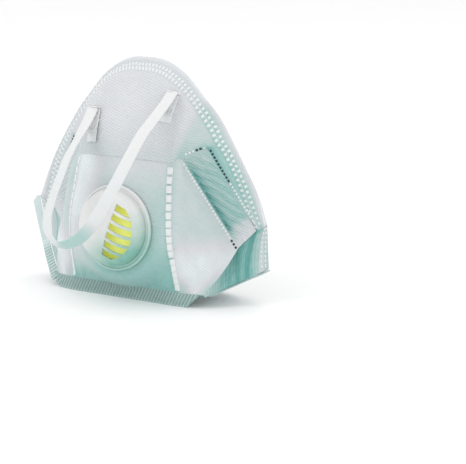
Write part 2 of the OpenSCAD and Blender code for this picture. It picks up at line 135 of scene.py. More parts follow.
# The head strap's route from its right end to its left end.
STRAP_W = 6.0
STRAP_T = 1.0
ANCHOR_COL = N_ROW + N_END + 0.43 * N_HALF
ANCHOR_RISE = 0.525
ANCHOR_SKEW = 0.125
ANCHOR_LIFT = 3.0
STRAP_ROUTE = np.array([
    [21.6, 4.6, 98.6], [21.2, -4, 92.6], [20.3, -15, 84.5], [18.5, -25, 72.5],
    [16.5, -32.5, 62], [13, -38.8, 51], [6.5, -42.8, 40.5], [-1, -43.6, 35.5],
    [-7.5, -44.5, 34.5], [-12, -45, 38.5], [-13.5, -44.5, 46], [-14.5, -39.5, 54],
    [-16, -31, 63.5], [-18, -21, 73], [-20.3, -8.5, 81.2], [-21.2, -0.5, 87.6]], float)


def lerp(a, b, t):
    return a + (b - a) * t


def smooth(t):
    c = np.clip(t, 0.0, 1.0)
    return c * c * (3 - 2 * c)


def hump(x, width):
    return np.exp(-(x / width) ** 2)


def bezier(a, m, b, t):
    return a * (1 - t) ** 2 + m * 2 * t * (1 - t) + b * t * t


def unit(v):
    return v / np.maximum(np.linalg.norm(v, axis=-1, keepdims=True), 1e-9)


def mirrored(grid):
    return grid * np.array([-1.0, 1.0, 1.0])


def inward(p):
    core = np.empty_like(p)
    core[..., 0] = 0.45 * p[..., 0]
    core[..., 1] = CORE_Y * KY
    core[..., 2] = (45 + 0.35 * (p[..., 2] / KZ - 45)) * KZ
    return unit(core - p)


def catmull(a, b, c, d, t):
    cubic = 3 * b - a - 3 * c + d
    square = 2 * a - 5 * b + 4 * c - d
    return 0.5 * (2 * b + (c - a) * t + square * t * t + cubic * t ** 3)


def rim_at(s):
    last = len(RIM_LINE) - 1
    q = min(s * last, last - 1e-6)
    i = int(q)
    before = RIM_LINE[max(i - 1, 0)]
    after = RIM_LINE[i + 2] if i + 2 <= last else mirrored(RIM_LINE[last - 1])
    return catmull(before, RIM_LINE[i], RIM_LINE[i + 1], after, q - i)


def fold_at(q):
    if q < 0.2:
        return lerp(PLEAT_A, WELD_TOP, q / 0.2)
    r = (q - 0.2) / 0.8
    y = lerp(WELD_TOP[1], FOLD_MID[1], smooth(r))
    return np.array([WELD_TOP[0] * (1 - r), y, lerp(WELD_TOP[2], FOLD_MID[2], r)])


def low_edge(k):
    if k <= N_ROW:
        return lerp(PLEAT_C, PLEAT_B, k / N_ROW)
    if k <= N_ROW + N_END:
        return lerp(PLEAT_B, PLEAT_A, (k - N_ROW) / N_END)
    return fold_at((k - N_ROW - N_END) / N_HALF)


def rim_share(k):
    if k <= N_ROW:
        return 0.3 * k / N_ROW
    if k <= N_ROW + N_END:
        return lerp(0.3, 0.42, (k - N_ROW) / N_END)
    return lerp(0.42, 1.0, (k - N_ROW - N_END) / N_HALF)


def upper_at(k, t):
    a = low_edge(k)
    b = rim_at(rim_share(k))
    lift = smooth((k / UPPER_COLS - 0.2) / 0.5)
    x = lerp(a[0], b[0], 0.55) + 2 * (1 - lift)
    y = lerp(lerp(a[1], b[1], 0.3), a[1] + 6.5, lift)
    z = lerp(a[2], b[2], lerp(0.6, 0.7, lift))
    return bezier(a, np.array([x, y, z]), b, t) * SIZE


def seam_curve(x):
    over = max(0.0, (abs(x) - SEAM_MID) / (SEAM_END - SEAM_MID))
    return SEAM_Y + SEAM_BACK * over ** 1.5


def foot_at(x):
    return np.array([x, seam_curve(x), SEAM_H])


def front_ends(k):
    q = (k - N_ROW) / N_HALF
    if k <= N_ROW:
        r = k / N_ROW
        return foot_at(lerp(SEAM_END, FOOT_X, r)), lerp(EDGE_BULGE, SIDE_BULGE, r), lerp(PLEAT_D, PLEAT_A, r)
    if q < 0.2:
        r = q / 0.2
        return foot_at(lerp(FOOT_X, SEAM_MID, r)), lerp(SIDE_BULGE, WELD_BULGE, r), fold_at(q)
    r = (q - 0.2) / 0.8
    return foot_at(SEAM_MID * (1 - r)), lerp(WELD_BULGE, MID_BULGE, r), fold_at(q)


def front_at(k, t):
    a, m, b = front_ends(k)
    p = bezier(a, m, b, t) * SIZE
    away = math.hypot(p[0] - VALVE_AT[0], p[2] - VALVE_AT[2])
    held = 1 - smooth((away - VALVE_FLAT) / VALVE_BLEND)
    return p - VALVE_N * np.dot(p - VALVE_AT, VALVE_N) * held


def gusset_top(u):
    """Upper edge of the rear gusset: along the side part, the pleat's foot and the upper panel."""
    if u < 0.45:
        return front_at(0, u / 0.45)
    if u < 0.65:
        return lerp(PLEAT_D, PLEAT_C, (u - 0.45) / 0.2) * SIZE
    return upper_at(0, (u - 0.65) / 0.35)


def chin_corner():
    return np.array([SEAM_END, seam_curve(SEAM_END) + CHIN_GAP, CHIN_Z])


def gusset_foot(u):
    return lerp(chin_corner(), RIM_LOW, u) * SIZE


def chin_at(s, t):
    front = np.array([SEAM_END * s, seam_curve(SEAM_END * s) + CHIN_GAP, CHIN_Z])
    back_y = CHIN_MID[1] - (CHIN_MID[1] - RIM_LOW[1]) * abs(s) ** 2.5
    back = np.array([RIM_LOW[0] * s, back_y, RIM_LOW[2] * abs(s) ** 2.2])
    sag = lerp(front, back, 0.5) - np.array([0, 0, 1.2 * (1 - s * s)])
    return bezier(front, sag, back, t) * SIZE


def normals_of(grid):
    """Outward normals of a grid of points."""
    across = np.gradient(grid, axis=0)
    along = np.gradient(grid, axis=1)
    n = unit(np.cross(across, along))
    flip = np.sign(np.sum(n * -inward(grid), axis=-1, keepdims=True))
    return n * np.where(flip == 0, 1, flip)


def arcs(grid, axis):
    """Length along the grid's lines, in millimetres."""
    step = np.linalg.norm(np.diff(grid, axis=axis), axis=-1)
    total = np.cumsum(step, axis=axis)
    pad = [(0, 0), (0, 0)]
    pad[axis] = (1, 0)
    return np.pad(total, pad)


def ripple(p, scale, seed):
    """A soft, fixed unevenness, from a few crossing waves."""
    x, y, z = (p[..., i] / scale for i in range(3))
    a = np.sin(2.1 * x + 1.3 * z + seed) * np.cos(1.7 * y - 0.9 * x + 2 * seed)
    b = np.sin(3.7 * z - 1.9 * x + 3 * seed) * np.cos(2.9 * x + 1.1 * y - seed)
    c = np.sin(5.3 * x + 4.1 * y + 3.1 * z + 5 * seed)
    return (a + 0.6 * b + 0.35 * c) / 1.95


def link(obj):
    bpy.context.scene.collection.objects.link(obj)
    return obj


def select_only(obj):
    bpy.ops.object.select_all(action="DESELECT")
    obj.select_set(True)
    bpy.context.view_layer.objects.active = obj


def apply_modifiers(obj):
    select_only(obj)
    for m in list(obj.modifiers):
        bpy.ops.object.modifier_apply(modifier=m.name)


def smooth_by_angle(obj, degrees=35):
    select_only(obj)
    bpy.ops.object.shade_smooth_by_angle(angle=math.radians(degrees))


def finished(name, mesh, work, material, degrees):
    """The object of a worked mesh, with its faces outwards and its soft edges smooth."""
    bmesh.ops.recalc_face_normals(work, faces=work.faces)
    work.to_mesh(mesh)
    work.free()
    mesh.materials.append(material)
    obj = link(bpy.data.objects.new(name, mesh))
    smooth_by_angle(obj, degrees)
    return obj


def closed_sheet(name, outer, inner, tone_and_shade, uv, material):
    """A closed sheet between two grids of points, in millimetres, with a UV map in metres."""
    nu, nv = outer.shape[:2]
    count = nu * nv
    verts = np.concatenate([outer.reshape(-1, 3), inner.reshape(-1, 3)]) * MM
    index = np.arange(count).reshape(nu, nv)
    a = index[:-1, :-1].ravel()
    b = index[1:, :-1].ravel()
    c = index[1:, 1:].ravel()
    d = index[:-1, 1:].ravel()
    skin = np.stack([a, b, c, d], 1)
    faces = [skin, skin[:, ::-1] + count]
    edges = (index[0, :], index[-1, ::-1], index[::-1, 0], index[:, -1])
    for line in edges:
        faces.append(np.stack([line[:-1], line[1:], line[1:] + count, line[:-1] + count], 1))
    mesh = bpy.data.meshes.new(name)
    mesh.from_pydata(verts.tolist(), [], np.concatenate(faces).tolist())
    layer = mesh.uv_layers.new(name="web")
    flat = np.concatenate([uv.reshape(-1, 2), uv.reshape(-1, 2)]) * MM
    loops = np.empty(len(mesh.loops), np.int64)
    mesh.loops.foreach_get("vertex_index", loops)
    layer.data.foreach_set("uv", flat[loops].ravel())
    shade = mesh.attributes.new("tone_and_shade", "FLOAT", "POINT")
    shade.data.foreach_set("value", np.concatenate([tone_and_shade.ravel(), tone_and_shade.ravel()]).astype(np.float32))
    work = bmesh.new()
    work.from_mesh(mesh)
    return finished(name, mesh, work, material, SHEET_SOFT)


def web_uv(grid):
    """Flat coordinates of a panel, from its lengths along and across."""
    across = arcs(grid, 0)
    mid = across[:, grid.shape[1] // 2][:, None]
    along = arcs(grid, 1)
    return np.stack([np.broadcast_to(mid - mid.mean(), along.shape), along], -1)


def three_layers(stem, grid, tone_and_shade, hole=False):
    """Cover, filter and liner of one panel; the two inner ones use every second line."""
    rough = np.array(sorted(set(range(0, grid.shape[0], 2)) | {grid.shape[0] - 1}))
    rows = np.array(sorted(set(range(0, grid.shape[1], 2)) | {grid.shape[1] - 1}))
    parts = (
        ("cover", 0.0, COVER, grid, tone_and_shade),
        ("filter", COVER, FILTER, grid[np.ix_(rough, rows)], tone_and_shade[np.ix_(rough, rows)]),
        ("liner", FILTER, WALL, grid[np.ix_(rough, rows)], tone_and_shade[np.ix_(rough, rows)]))
    for kind, t0, t1, g, shade in parts:
        mat = panel_material(stem, kind)
        d = inward(g)
        obj = closed_sheet(f"{stem}_{kind}_web", g + d * t0, g + d * t1, shade, web_uv(g), mat)
        if hole:
            cut_valve_hole(obj)
        node = f"{stem}_{kind}"
        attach(obj, SHELL)
        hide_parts(node)


def cut_valve_hole(obj):
    """A round hole through the web where the valve's hub passes."""
    turn = Matrix.Rotation(math.pi / 2 - VALVE_TILT, 4, "X")
    place = Matrix.Translation(Vector(VALVE_AT * MM)) @ turn
    select_only(obj)
    bpy.ops.mesh.primitive_cylinder_add(vertices=72, radius=HOLE_R * MM, depth=30 * MM)
    tool = bpy.context.active_object
    tool.data.transform(place)
    m = obj.modifiers.new("hole", "BOOLEAN")
    m.operation = "DIFFERENCE"
    m.solver = "EXACT"
    m.object = tool
    apply_modifiers(obj)
    bpy.data.objects.remove(tool)
    smooth_by_angle(obj, 40)


# ---------------------------------------------------------------- shader node groups


def new_group(name, inputs, outputs):
    group = bpy.data.node_groups.new(name, "ShaderNodeTree")
    for label, kind, default in inputs:
        s = group.interface.new_socket(name=label, in_out="INPUT", socket_type=kind)
        if default is not None:
            s.default_value = default
    for label, kind in outputs:
        group.interface.new_socket(name=label, in_out="OUTPUT", socket_type=kind)
    start = group.nodes.new("NodeGroupInput")
    end = group.nodes.new("NodeGroupOutput")
    return group, start, end


def node(tree, kind, **values):
    made = tree.nodes.new(kind)
    for key, value in values.items():
        setattr(made, key, value)
    return made


def math_node(tree, operation, a, b=None, clamp=False):
    made = node(tree, "ShaderNodeMath", operation=operation, use_clamp=clamp)
    for i, value in enumerate((a, b)):
        if value is None:
            continue
        if isinstance(value, (int, float)):
            made.inputs[i].default_value = value
        else:
            tree.links.new(value, made.inputs[i])
    return made.outputs[0]


def add(tree, a, b, clamp=False):
    return math_node(tree, "ADD", a, b, clamp)


def times(tree, a, b, clamp=False):
    return math_node(tree, "MULTIPLY", a, b, clamp)


def minus(tree, a, b, clamp=False):
    return math_node(tree, "SUBTRACT", a, b, clamp)


def noise_node(tree, vector, scale, detail=3.0, roughness=0.55):
    made = node(tree, "ShaderNodeTexNoise")
    made.inputs["Scale"].default_value = scale
    made.inputs["Detail"].default_value = detail
    made.inputs["Roughness"].default_value = roughness
    tree.links.new(vector, made.inputs["Vector"])
    return made.outputs["Fac"]


def turned(tree, vector, degrees, stretch):
    made = node(tree, "ShaderNodeMapping")
    made.inputs["Rotation"].default_value = (0, 0, math.radians(degrees))
    made.inputs["Scale"].default_value = (1, stretch, 1)
    tree.links.new(vector, made.inputs["Vector"])
    return made.outputs["Vector"]


@functools.cache
def fibre_group():
    """Long crossing fibres of a spunbond web: a mask and a height, both from 0 to 1."""
    name = "Web Fibres"
    group, start, end = new_group(
        name, [("Vector", "NodeSocketVector", None)],
        [("Mask", "NodeSocketFloat"), ("Height", "NodeSocketFloat")])
    vector = start.outputs["Vector"]
    runs = []
    for degrees, scale in ((25, 2300), (-48, 2700), (80, 2000)):
        fine = noise_node(group, turned(group, vector, degrees, 0.09), scale, 2)
        ridge = math_node(group, "ABSOLUTE", minus(group, fine, 0.5))
        runs.append(minus(group, 1.0, times(group, ridge, 7.0), True))
    both = math_node(group, "MAXIMUM", runs[0], runs[1])
    fibres = math_node(group, "MAXIMUM", both, runs[2])
    cloud = noise_node(group, vector, 420, 4)
    mask = times(group, fibres, cloud)
    group.links.new(mask, end.inputs["Mask"])
    group.links.new(add(group, mask, times(group, cloud, 0.6)), end.inputs["Height"])
    return group


@functools.cache
def rib_group():
    """Fine embossed ribs: a wave of the given pitch that runs at the given angle."""
    name = "Embossed Ribs"
    group, start, end = new_group(
        name,
        [("Vector", "NodeSocketVector", None), ("Pitch", "NodeSocketFloat", 0.001),
         ("Angle", "NodeSocketFloat", 0.0), ("Waver", "NodeSocketFloat", 0.3)],
        [("Height", "NodeSocketFloat")])
    spread = node(group, "ShaderNodeSeparateXYZ")
    group.links.new(start.outputs["Vector"], spread.inputs[0])
    cos = math_node(group, "COSINE", start.outputs["Angle"])
    sin = math_node(group, "SINE", start.outputs["Angle"])
    x = times(group, spread.outputs[0], cos)
    y = times(group, spread.outputs[1], sin)
    turns = math_node(group, "DIVIDE", add(group, x, y), start.outputs["Pitch"])
    drift = noise_node(group, start.outputs["Vector"], 180, 2)
    drift = times(group, drift, start.outputs["Waver"])
    phase = times(group, add(group, turns, drift), 2 * math.pi)
    wave = add(group, times(group, math_node(group, "SINE", phase), 0.5), 0.5)
    group.links.new(wave, end.inputs["Height"])
    return group


@functools.cache
def mottle_group():
    """Slow colour drift over a web, as where it is thinner or creased."""
    name = "Web Mottle"
    group, start, end = new_group(
        name, [("Vector", "NodeSocketVector", None)], [("Drift", "NodeSocketFloat")])
    slow = noise_node(group, start.outputs["Vector"], 38, 3)
    quick = noise_node(group, start.outputs["Vector"], 240, 2)
    both = add(group, times(group, slow, 0.7), times(group, quick, 0.3))
    group.links.new(both, end.inputs["Drift"])
    return group


def placed(tree, group, vector, **values):
    made = node(tree, "ShaderNodeGroup")
    made.node_tree = group
    tree.links.new(vector, made.inputs["Vector"])
    for key, value in values.items():
        made.inputs[key].default_value = value
    return made


def new_material(name, roughness, sheen=0.0, coat=0.0, specular=0.5):
    mat = bpy.data.materials.new(name)
    mat.use_nodes = True
    tree = mat.node_tree
    shader = tree.nodes["Principled BSDF"]
    shader.inputs["Roughness"].default_value = roughness
    shader.inputs["Sheen Weight"].default_value = sheen
    shader.inputs["Coat Weight"].default_value = coat
    shader.inputs["Specular IOR Level"].default_value = specular
    return mat, tree, shader


def paint(tree, shader, color):
    tree.links.new(color, shader.inputs["Base Color"])


def roughen(tree, shader, value):
    tree.links.new(value, shader.inputs["Roughness"])


def add_bump(tree, shader, height, distance, strength=1.0):
    bump = node(tree, "ShaderNodeBump")
    bump.inputs["Distance"].default_value = distance
    bump.inputs["Strength"].default_value = strength
    tree.links.new(height, bump.inputs["Height"])
    tree.links.new(bump.outputs["Normal"], shader.inputs["Normal"])


def mix_color(tree, factor, a, b, blend="MIX"):
    made = node(tree, "ShaderNodeMix", data_type="RGBA", blend_type=blend)
    for socket, value in (("Factor", factor), ("A", a), ("B", b)):
        target = [s for s in made.inputs if s.name == socket and s.enabled][0]
        if isinstance(value, (int, float, tuple)):
            target.default_value = value
        else:
            tree.links.new(value, target)
    return [s for s in made.outputs if s.enabled][0]


def ramp(tree, factor, stops):
    made = node(tree, "ShaderNodeValToRGB")
    band = made.color_ramp
    while len(band.elements) < len(stops):
        band.elements.new(0.5)
    for element, (place, color) in zip(band.elements, stops):
        element.position = place
        element.color = (*color, 1)
    tree.links.new(factor, made.inputs["Fac"])
    return made.outputs["Color"]


WELD_COLOR = (0.78, 0.81, 0.81)
# Web colour along its per-point value: near white at 0, through lavender grey, to a deep teal that is
# painted shade.
WEB_STOPS = (
    (0.0, (0.82, 0.87, 0.89)),
    (0.12, (0.64, 0.69, 0.71)),
    (0.22, (0.60, 0.595, 0.63)),
    (0.4, (0.43, 0.55, 0.54)),
    (0.6, (0.28, 0.48, 0.455)),
    (0.8, (0.14, 0.39, 0.365)),
    (1.0, (0.065, 0.30, 0.27)))


@functools.cache
def web_material(name, pitch, degrees, rib_depth, roughness=0.8):
    """Spunbond web: white, turning teal where its per-point value paints shade, and darker in the rib
    grooves as painted shade; with fibres, embossed ribs and a slow drift of colour.
    """
    mat, tree, shader = new_material(name, roughness, sheen=0.15, specular=0.3)
    uv = node(tree, "ShaderNodeUVMap", uv_map="web").outputs["UV"]
    # The per-point value holds the web's own tone plus teal painted shade.
    tone_and_shade = node(tree, "ShaderNodeAttribute", attribute_name="tone_and_shade").outputs["Fac"]
    fibres = placed(tree, fibre_group(), uv)
    ribs = placed(tree, rib_group(), uv, Pitch=pitch, Angle=math.radians(degrees))
    drift = placed(tree, mottle_group(), uv).outputs["Drift"]
    shift = times(tree, minus(tree, drift, 0.5), 0.14)
    # Painted shade: the web darkens in the grooves between the embossed ribs.
    groove = times(tree, minus(tree, 0.5, ribs.outputs["Height"]), rib_depth)
    total = add(tree, add(tree, tone_and_shade, shift), groove)
    base = ramp(tree, add(tree, total, 0.0, True), WEB_STOPS)
    light = times(tree, fibres.outputs["Mask"], 0.16)
    paint(tree, shader, mix_color(tree, light, base, (0.93, 0.95, 0.95, 1)))
    rough = minus(tree, roughness, times(tree, fibres.outputs["Mask"], 0.2))
    roughen(tree, shader, rough)
    high = times(tree, ribs.outputs["Height"], 2.2 * rib_depth / 0.12)
    add_bump(tree, shader, add(tree, fibres.outputs["Height"], high), 0.00009, 0.8)
    return mat


def panel_material(stem, kind):
    if kind == "filter":
        return web_material("Melt-blown Filter", 0.004, 10, 0.02, 0.9)
    if kind == "liner":
        return web_material("Soft Liner", 0.0016, 90, 0.04, 0.85)
    styles = {
        "upper": ("Ribbed Cover", 0.0013, 72, 0.12),
        "front": ("Smooth Cover", 0.0012, 72, 0.07),
        "chin": ("Chin Cover", 0.0012, 72, 0.07),
        "pleat_left": ("Pleat Cover", 0.0014, -32, 0.16),
        "pleat_right": ("Pleat Cover", 0.0014, -32, 0.16),
        "gusset_left": ("Gusset Cover", 0.0018, 0, 0.14),
        "gusset_right": ("Gusset Cover", 0.0018, 0, 0.14)}
    return web_material(*styles[stem])


@functools.cache
def seam_material():
    """Hot-welded hem: pressed glossy web, darker in the grooves; its teal, from the per-point value, is
    painted shade.
    """
    name = "Welded Hem"
    mat, tree, shader = new_material(name, 0.55, sheen=0.1, specular=0.4)
    uv = node(tree, "ShaderNodeUVMap", uv_map="web").outputs["UV"]
    tone_and_shade = node(tree, "ShaderNodeAttribute", attribute_name="tone_and_shade").outputs["Fac"]
    fibres = placed(tree, fibre_group(), uv)
    drift = placed(tree, mottle_group(), uv).outputs["Drift"]
    level = add(tree, tone_and_shade, times(tree, minus(tree, drift, 0.5), 0.3), True)
    # The hem's colour along its per-point value: pale at 0, deep teal painted shade at 1.
    stops = ((0.0, (0.64, 0.73, 0.735)), (0.45, (0.30, 0.44, 0.42)), (1.0, (0.10, 0.19, 0.18)))
    base = ramp(tree, level, stops)
    light = times(tree, fibres.outputs["Mask"], 0.18)
    paint(tree, shader, mix_color(tree, light, base, (0.85, 0.9, 0.9, 1)))
    rough = add(tree, 0.45, times(tree, drift, 0.3))
    roughen(tree, shader, rough)
    add_bump(tree, shader, fibres.outputs["Height"], 0.00006, 0.6)
    return mat


@functools.cache
def weld_material(name, bright):
    """Melted weld marks, glossy and a little uneven."""
    mat, tree, shader = new_material(name, 0.4, specular=0.5)
    place = node(tree, "ShaderNodeTexCoord").outputs["Object"]
    drift = placed(tree, mottle_group(), place).outputs["Drift"]
    grain = noise_node(tree, place, 3000, 3)
    dim = tuple(c * 0.82 for c in bright)
    base = mix_color(tree, drift, (*bright, 1), (*dim, 1))
    paint(tree, shader, base)
    roughen(tree, shader, add(tree, 0.3, times(tree, grain, 0.3)))
    add_bump(tree, shader, grain, 0.00005, 0.6)
    return mat


@functools.cache
def moulding_material(name, color, roughness, painted_shade_color, subsurface=0.0):
    """Moulded plastic with a faint grain, slow colour drift and painted shade that turns it toward the shade
    colour on its lower and right side.
    """
    mat, tree, shader = new_material(name, roughness, specular=0.5)
    shader.inputs["Subsurface Weight"].default_value = subsurface
    shader.inputs["Subsurface Scale"].default_value = 0.002
    place = node(tree, "ShaderNodeTexCoord").outputs["Object"]
    drift = placed(tree, mottle_group(), place).outputs["Drift"]
    grain = noise_node(tree, place, 2600, 2)
    spread = node(tree, "ShaderNodeSeparateXYZ")
    tree.links.new(place, spread.inputs[0])
    # Painted shade: the colour moves toward the shade colour below the valve's middle and toward +x, with
    # the drift mixed in.
    low = math_node(tree, "DIVIDE", minus(tree, VALVE_AT[2] * MM + 0.004, spread.outputs[2]), 0.022)
    side = math_node(tree, "DIVIDE", spread.outputs[0], 0.04)
    shade = add(tree, add(tree, low, side), minus(tree, drift, 0.5), True)
    paint(tree, shader, mix_color(tree, shade, (*color, 1), (*painted_shade_color, 1)))
    roughen(tree, shader, add(tree, roughness - 0.06, times(tree, grain, 0.14)))
    add_bump(tree, shader, grain, 0.00003, 0.5)
    return mat


@functools.cache
def flap_material():
    name = "Silicone Flap"
    mat, tree, shader = new_material(name, 0.35, specular=0.5)
    place = node(tree, "ShaderNodeTexCoord").outputs["Object"]
    drift = placed(tree, mottle_group(), place).outputs["Drift"]
    grain = noise_node(tree, place, 900, 3)
    paint(tree, shader, mix_color(tree, drift, (0.86, 0.88, 0.30, 1), (0.78, 0.82, 0.22, 1)))
    # Painted light: a faint yellow-green glow stands in for light coming through the translucent cap.
    shader.inputs["Emission Color"].default_value = (0.8, 0.82, 0.12, 1)
    shader.inputs["Emission Strength"].default_value = 0.32
    roughen(tree, shader, add(tree, 0.28, times(tree, grain, 0.2)))
    add_bump(tree, shader, grain, 0.00005, 0.5)
    return mat


@functools.cache
def strap_material():
    """Knitted elastic: fine cords along the band, crossed by a tight rib; painted shade darkens the gaps of
    the weave, and the per-point value paints teal shade.
    """
    name = "Knitted Elastic"
    mat, tree, shader = new_material(name, 0.75, sheen=0.2, specular=0.35)
    uv = node(tree, "ShaderNodeUVMap", uv_map="web").outputs["UV"]
    tone_and_shade = node(tree, "ShaderNodeAttribute", attribute_name="tone_and_shade").outputs["Fac"]
    cords = placed(tree, rib_group(), uv, Pitch=0.0006, Angle=0.0, Waver=0.1).outputs["Height"]
    cross = placed(tree, rib_group(), uv, Pitch=0.00075, Angle=math.pi / 2, Waver=0.2).outputs["Height"]
    fibres = placed(tree, fibre_group(), uv)
    weave = times(tree, cords, add(tree, times(tree, cross, 0.6), 0.4))
    # Painted shade: the band darkens in the gaps of the weave.
    weave_gap_shade = times(tree, minus(tree, 1.0, weave), 0.10)
    level = add(tree, tone_and_shade, weave_gap_shade, True)
    # Band colour along its per-point value: light grey at 0, teal painted shade at 1.
    stops = ((0.0, (0.80, 0.80, 0.80)), (0.4, (0.60, 0.65, 0.66)), (1.0, (0.20, 0.50, 0.45)))
    base = ramp(tree, level, stops)
    light = times(tree, fibres.outputs["Mask"], 0.2)
    paint(tree, shader, mix_color(tree, light, base, (0.96, 0.97, 0.97, 1)))
    roughen(tree, shader, minus(tree, 0.85, times(tree, weave, 0.2)))
    add_bump(tree, shader, add(tree, weave, times(tree, fibres.outputs["Height"], 0.3)), 0.00018, 0.8)
    return mat


@functools.cache
def foam_material():
    name = "Nose Foam"
    mat, tree, shader = new_material(name, 0.9, specular=0.2)
    place = node(tree, "ShaderNodeTexCoord").outputs["Object"]
    cells = node(tree, "ShaderNodeTexVoronoi")
    cells.inputs["Scale"].default_value = 1500
    tree.links.new(place, cells.inputs["Vector"])
    drift = placed(tree, mottle_group(), place).outputs["Drift"]
    pore = times(tree, cells.outputs["Distance"], 0.5, True)
    base = mix_color(tree, pore, (0.86, 0.87, 0.87, 1), (0.70, 0.73, 0.73, 1))
    paint(tree, shader, mix_color(tree, times(tree, drift, 0.2), base, (0.8, 0.86, 0.85, 1)))
    add_bump(tree, shader, cells.outputs["Distance"], 0.0002, 0.7)
    return mat


@functools.cache
def clip_material():
    name = "Soft Aluminium"
    mat, tree, shader = new_material(name, 0.35)
    shader.inputs["Metallic"].default_value = 1.0
    place = node(tree, "ShaderNodeTexCoord").outputs["Object"]
    brush = noise_node(tree, turned(tree, place, 0, 40), 200, 3)
    paint(tree, shader, mix_color(tree, brush, (0.8, 0.8, 0.81, 1), (0.62, 0.63, 0.65, 1)))
    roughen(tree, shader, add(tree, 0.25, times(tree, brush, 0.3)))
    add_bump(tree, shader, brush, 0.00003, 0.5)
    return mat


# ---------------------------------------------------------------- panels


def upper_rows(k, rows):
    """Heights t of a column's rows: close together in the rim band, wider below it."""
    fine = np.linspace(0, 1, 160)
    line = np.array([upper_at(k, t) for t in fine])
    run = np.concatenate([[0], np.cumsum(np.linalg.norm(np.diff(line, axis=0), axis=1))])
    total = run[-1]
    band = 12.5 * min(1.0, total / 26)
    dense = int(rows * 0.5)
    near = np.linspace(0, band, dense, endpoint=False)
    far = np.linspace(band, total, rows - dense + 1)
    back = np.concatenate([near, far])
    return np.interp(total - back[::-1], run, fine)


def upper_grid():
    half = 84
    rows = 66
    ks = np.linspace(0, UPPER_COLS, half + 1)
    right = np.array([[upper_at(k, t) for t in upper_rows(k, rows)] for k in ks])
    left = mirrored(right[:-1])
    grid = np.concatenate([left, right[::-1]])
    col = np.concatenate([ks[:-1], ks[::-1]])[:, None]
    low = arcs(grid, 1)
    edge = low[:, -1:] - low
    n = normals_of(grid)
    inner = smooth((edge - 3) / 6) * smooth(low / 5)
    rows_at = sum(hump(edge - r, 1.1) for r in RIM_ROWS)
    bump = -0.4 * rows_at + 0.35 * hump(edge - 6.5, 0.7)
    bump = bump + 0.5 * hump(edge - 12, 2.4) * smooth(low / 6) + 0.4 * hump(edge - 2.2, 1.5)
    bump = bump - 0.25 * (1 - smooth(edge / 1.3))
    run = arcs(grid, 0)[:, -1:]
    bump = bump + 0.14 * np.sin(2 * math.pi * run / 4.1) * hump(edge - 2.5, 2.2)
    bump = bump + 0.7 * ripple(grid, 17, 1.7) * inner
    middle = smooth((col - 9.4) / 0.8)
    bump = bump + 0.35 * hump(low, 3.0) * middle
    grid = grid + n * bump[..., None]
    # Tone and painted shade: teal painted shade deepens near the fold in the middle, round the pleat's
    # corner, beside the pleat and in the weld rows, more so on the right; the rim's edge is lighter as
    # painted light, most on the right.
    tone_and_shade = 0.21 + 0.03 * ripple(grid, 22, 0.4) + 0.09 * hump(low, 9) * middle
    near_b = smooth(col / 5)
    x = grid[..., 0]
    right = 0.2 + 0.8 * smooth((x + 10) / 20)
    corner = 0.1 + 0.34 * near_b * (1 - smooth((col - 5.5) / 2.5))
    tone_and_shade = tone_and_shade + corner * hump(low, 6.5) * (1 - middle) * right
    tone_and_shade = tone_and_shade + 0.14 * (1 - middle) * smooth(col / 3) * right
    tone_and_shade = tone_and_shade + (0.07 + 0.11 * smooth((x - 14) / 26)) * rows_at + 0.04 * hump(edge - 3.5, 1.5)
    tone_and_shade = tone_and_shade - (0.05 + 0.14 * smooth((x - 12) / 30)) * (1 - smooth(edge / 3.2))
    return grid, np.clip(tone_and_shade, 0, 1)


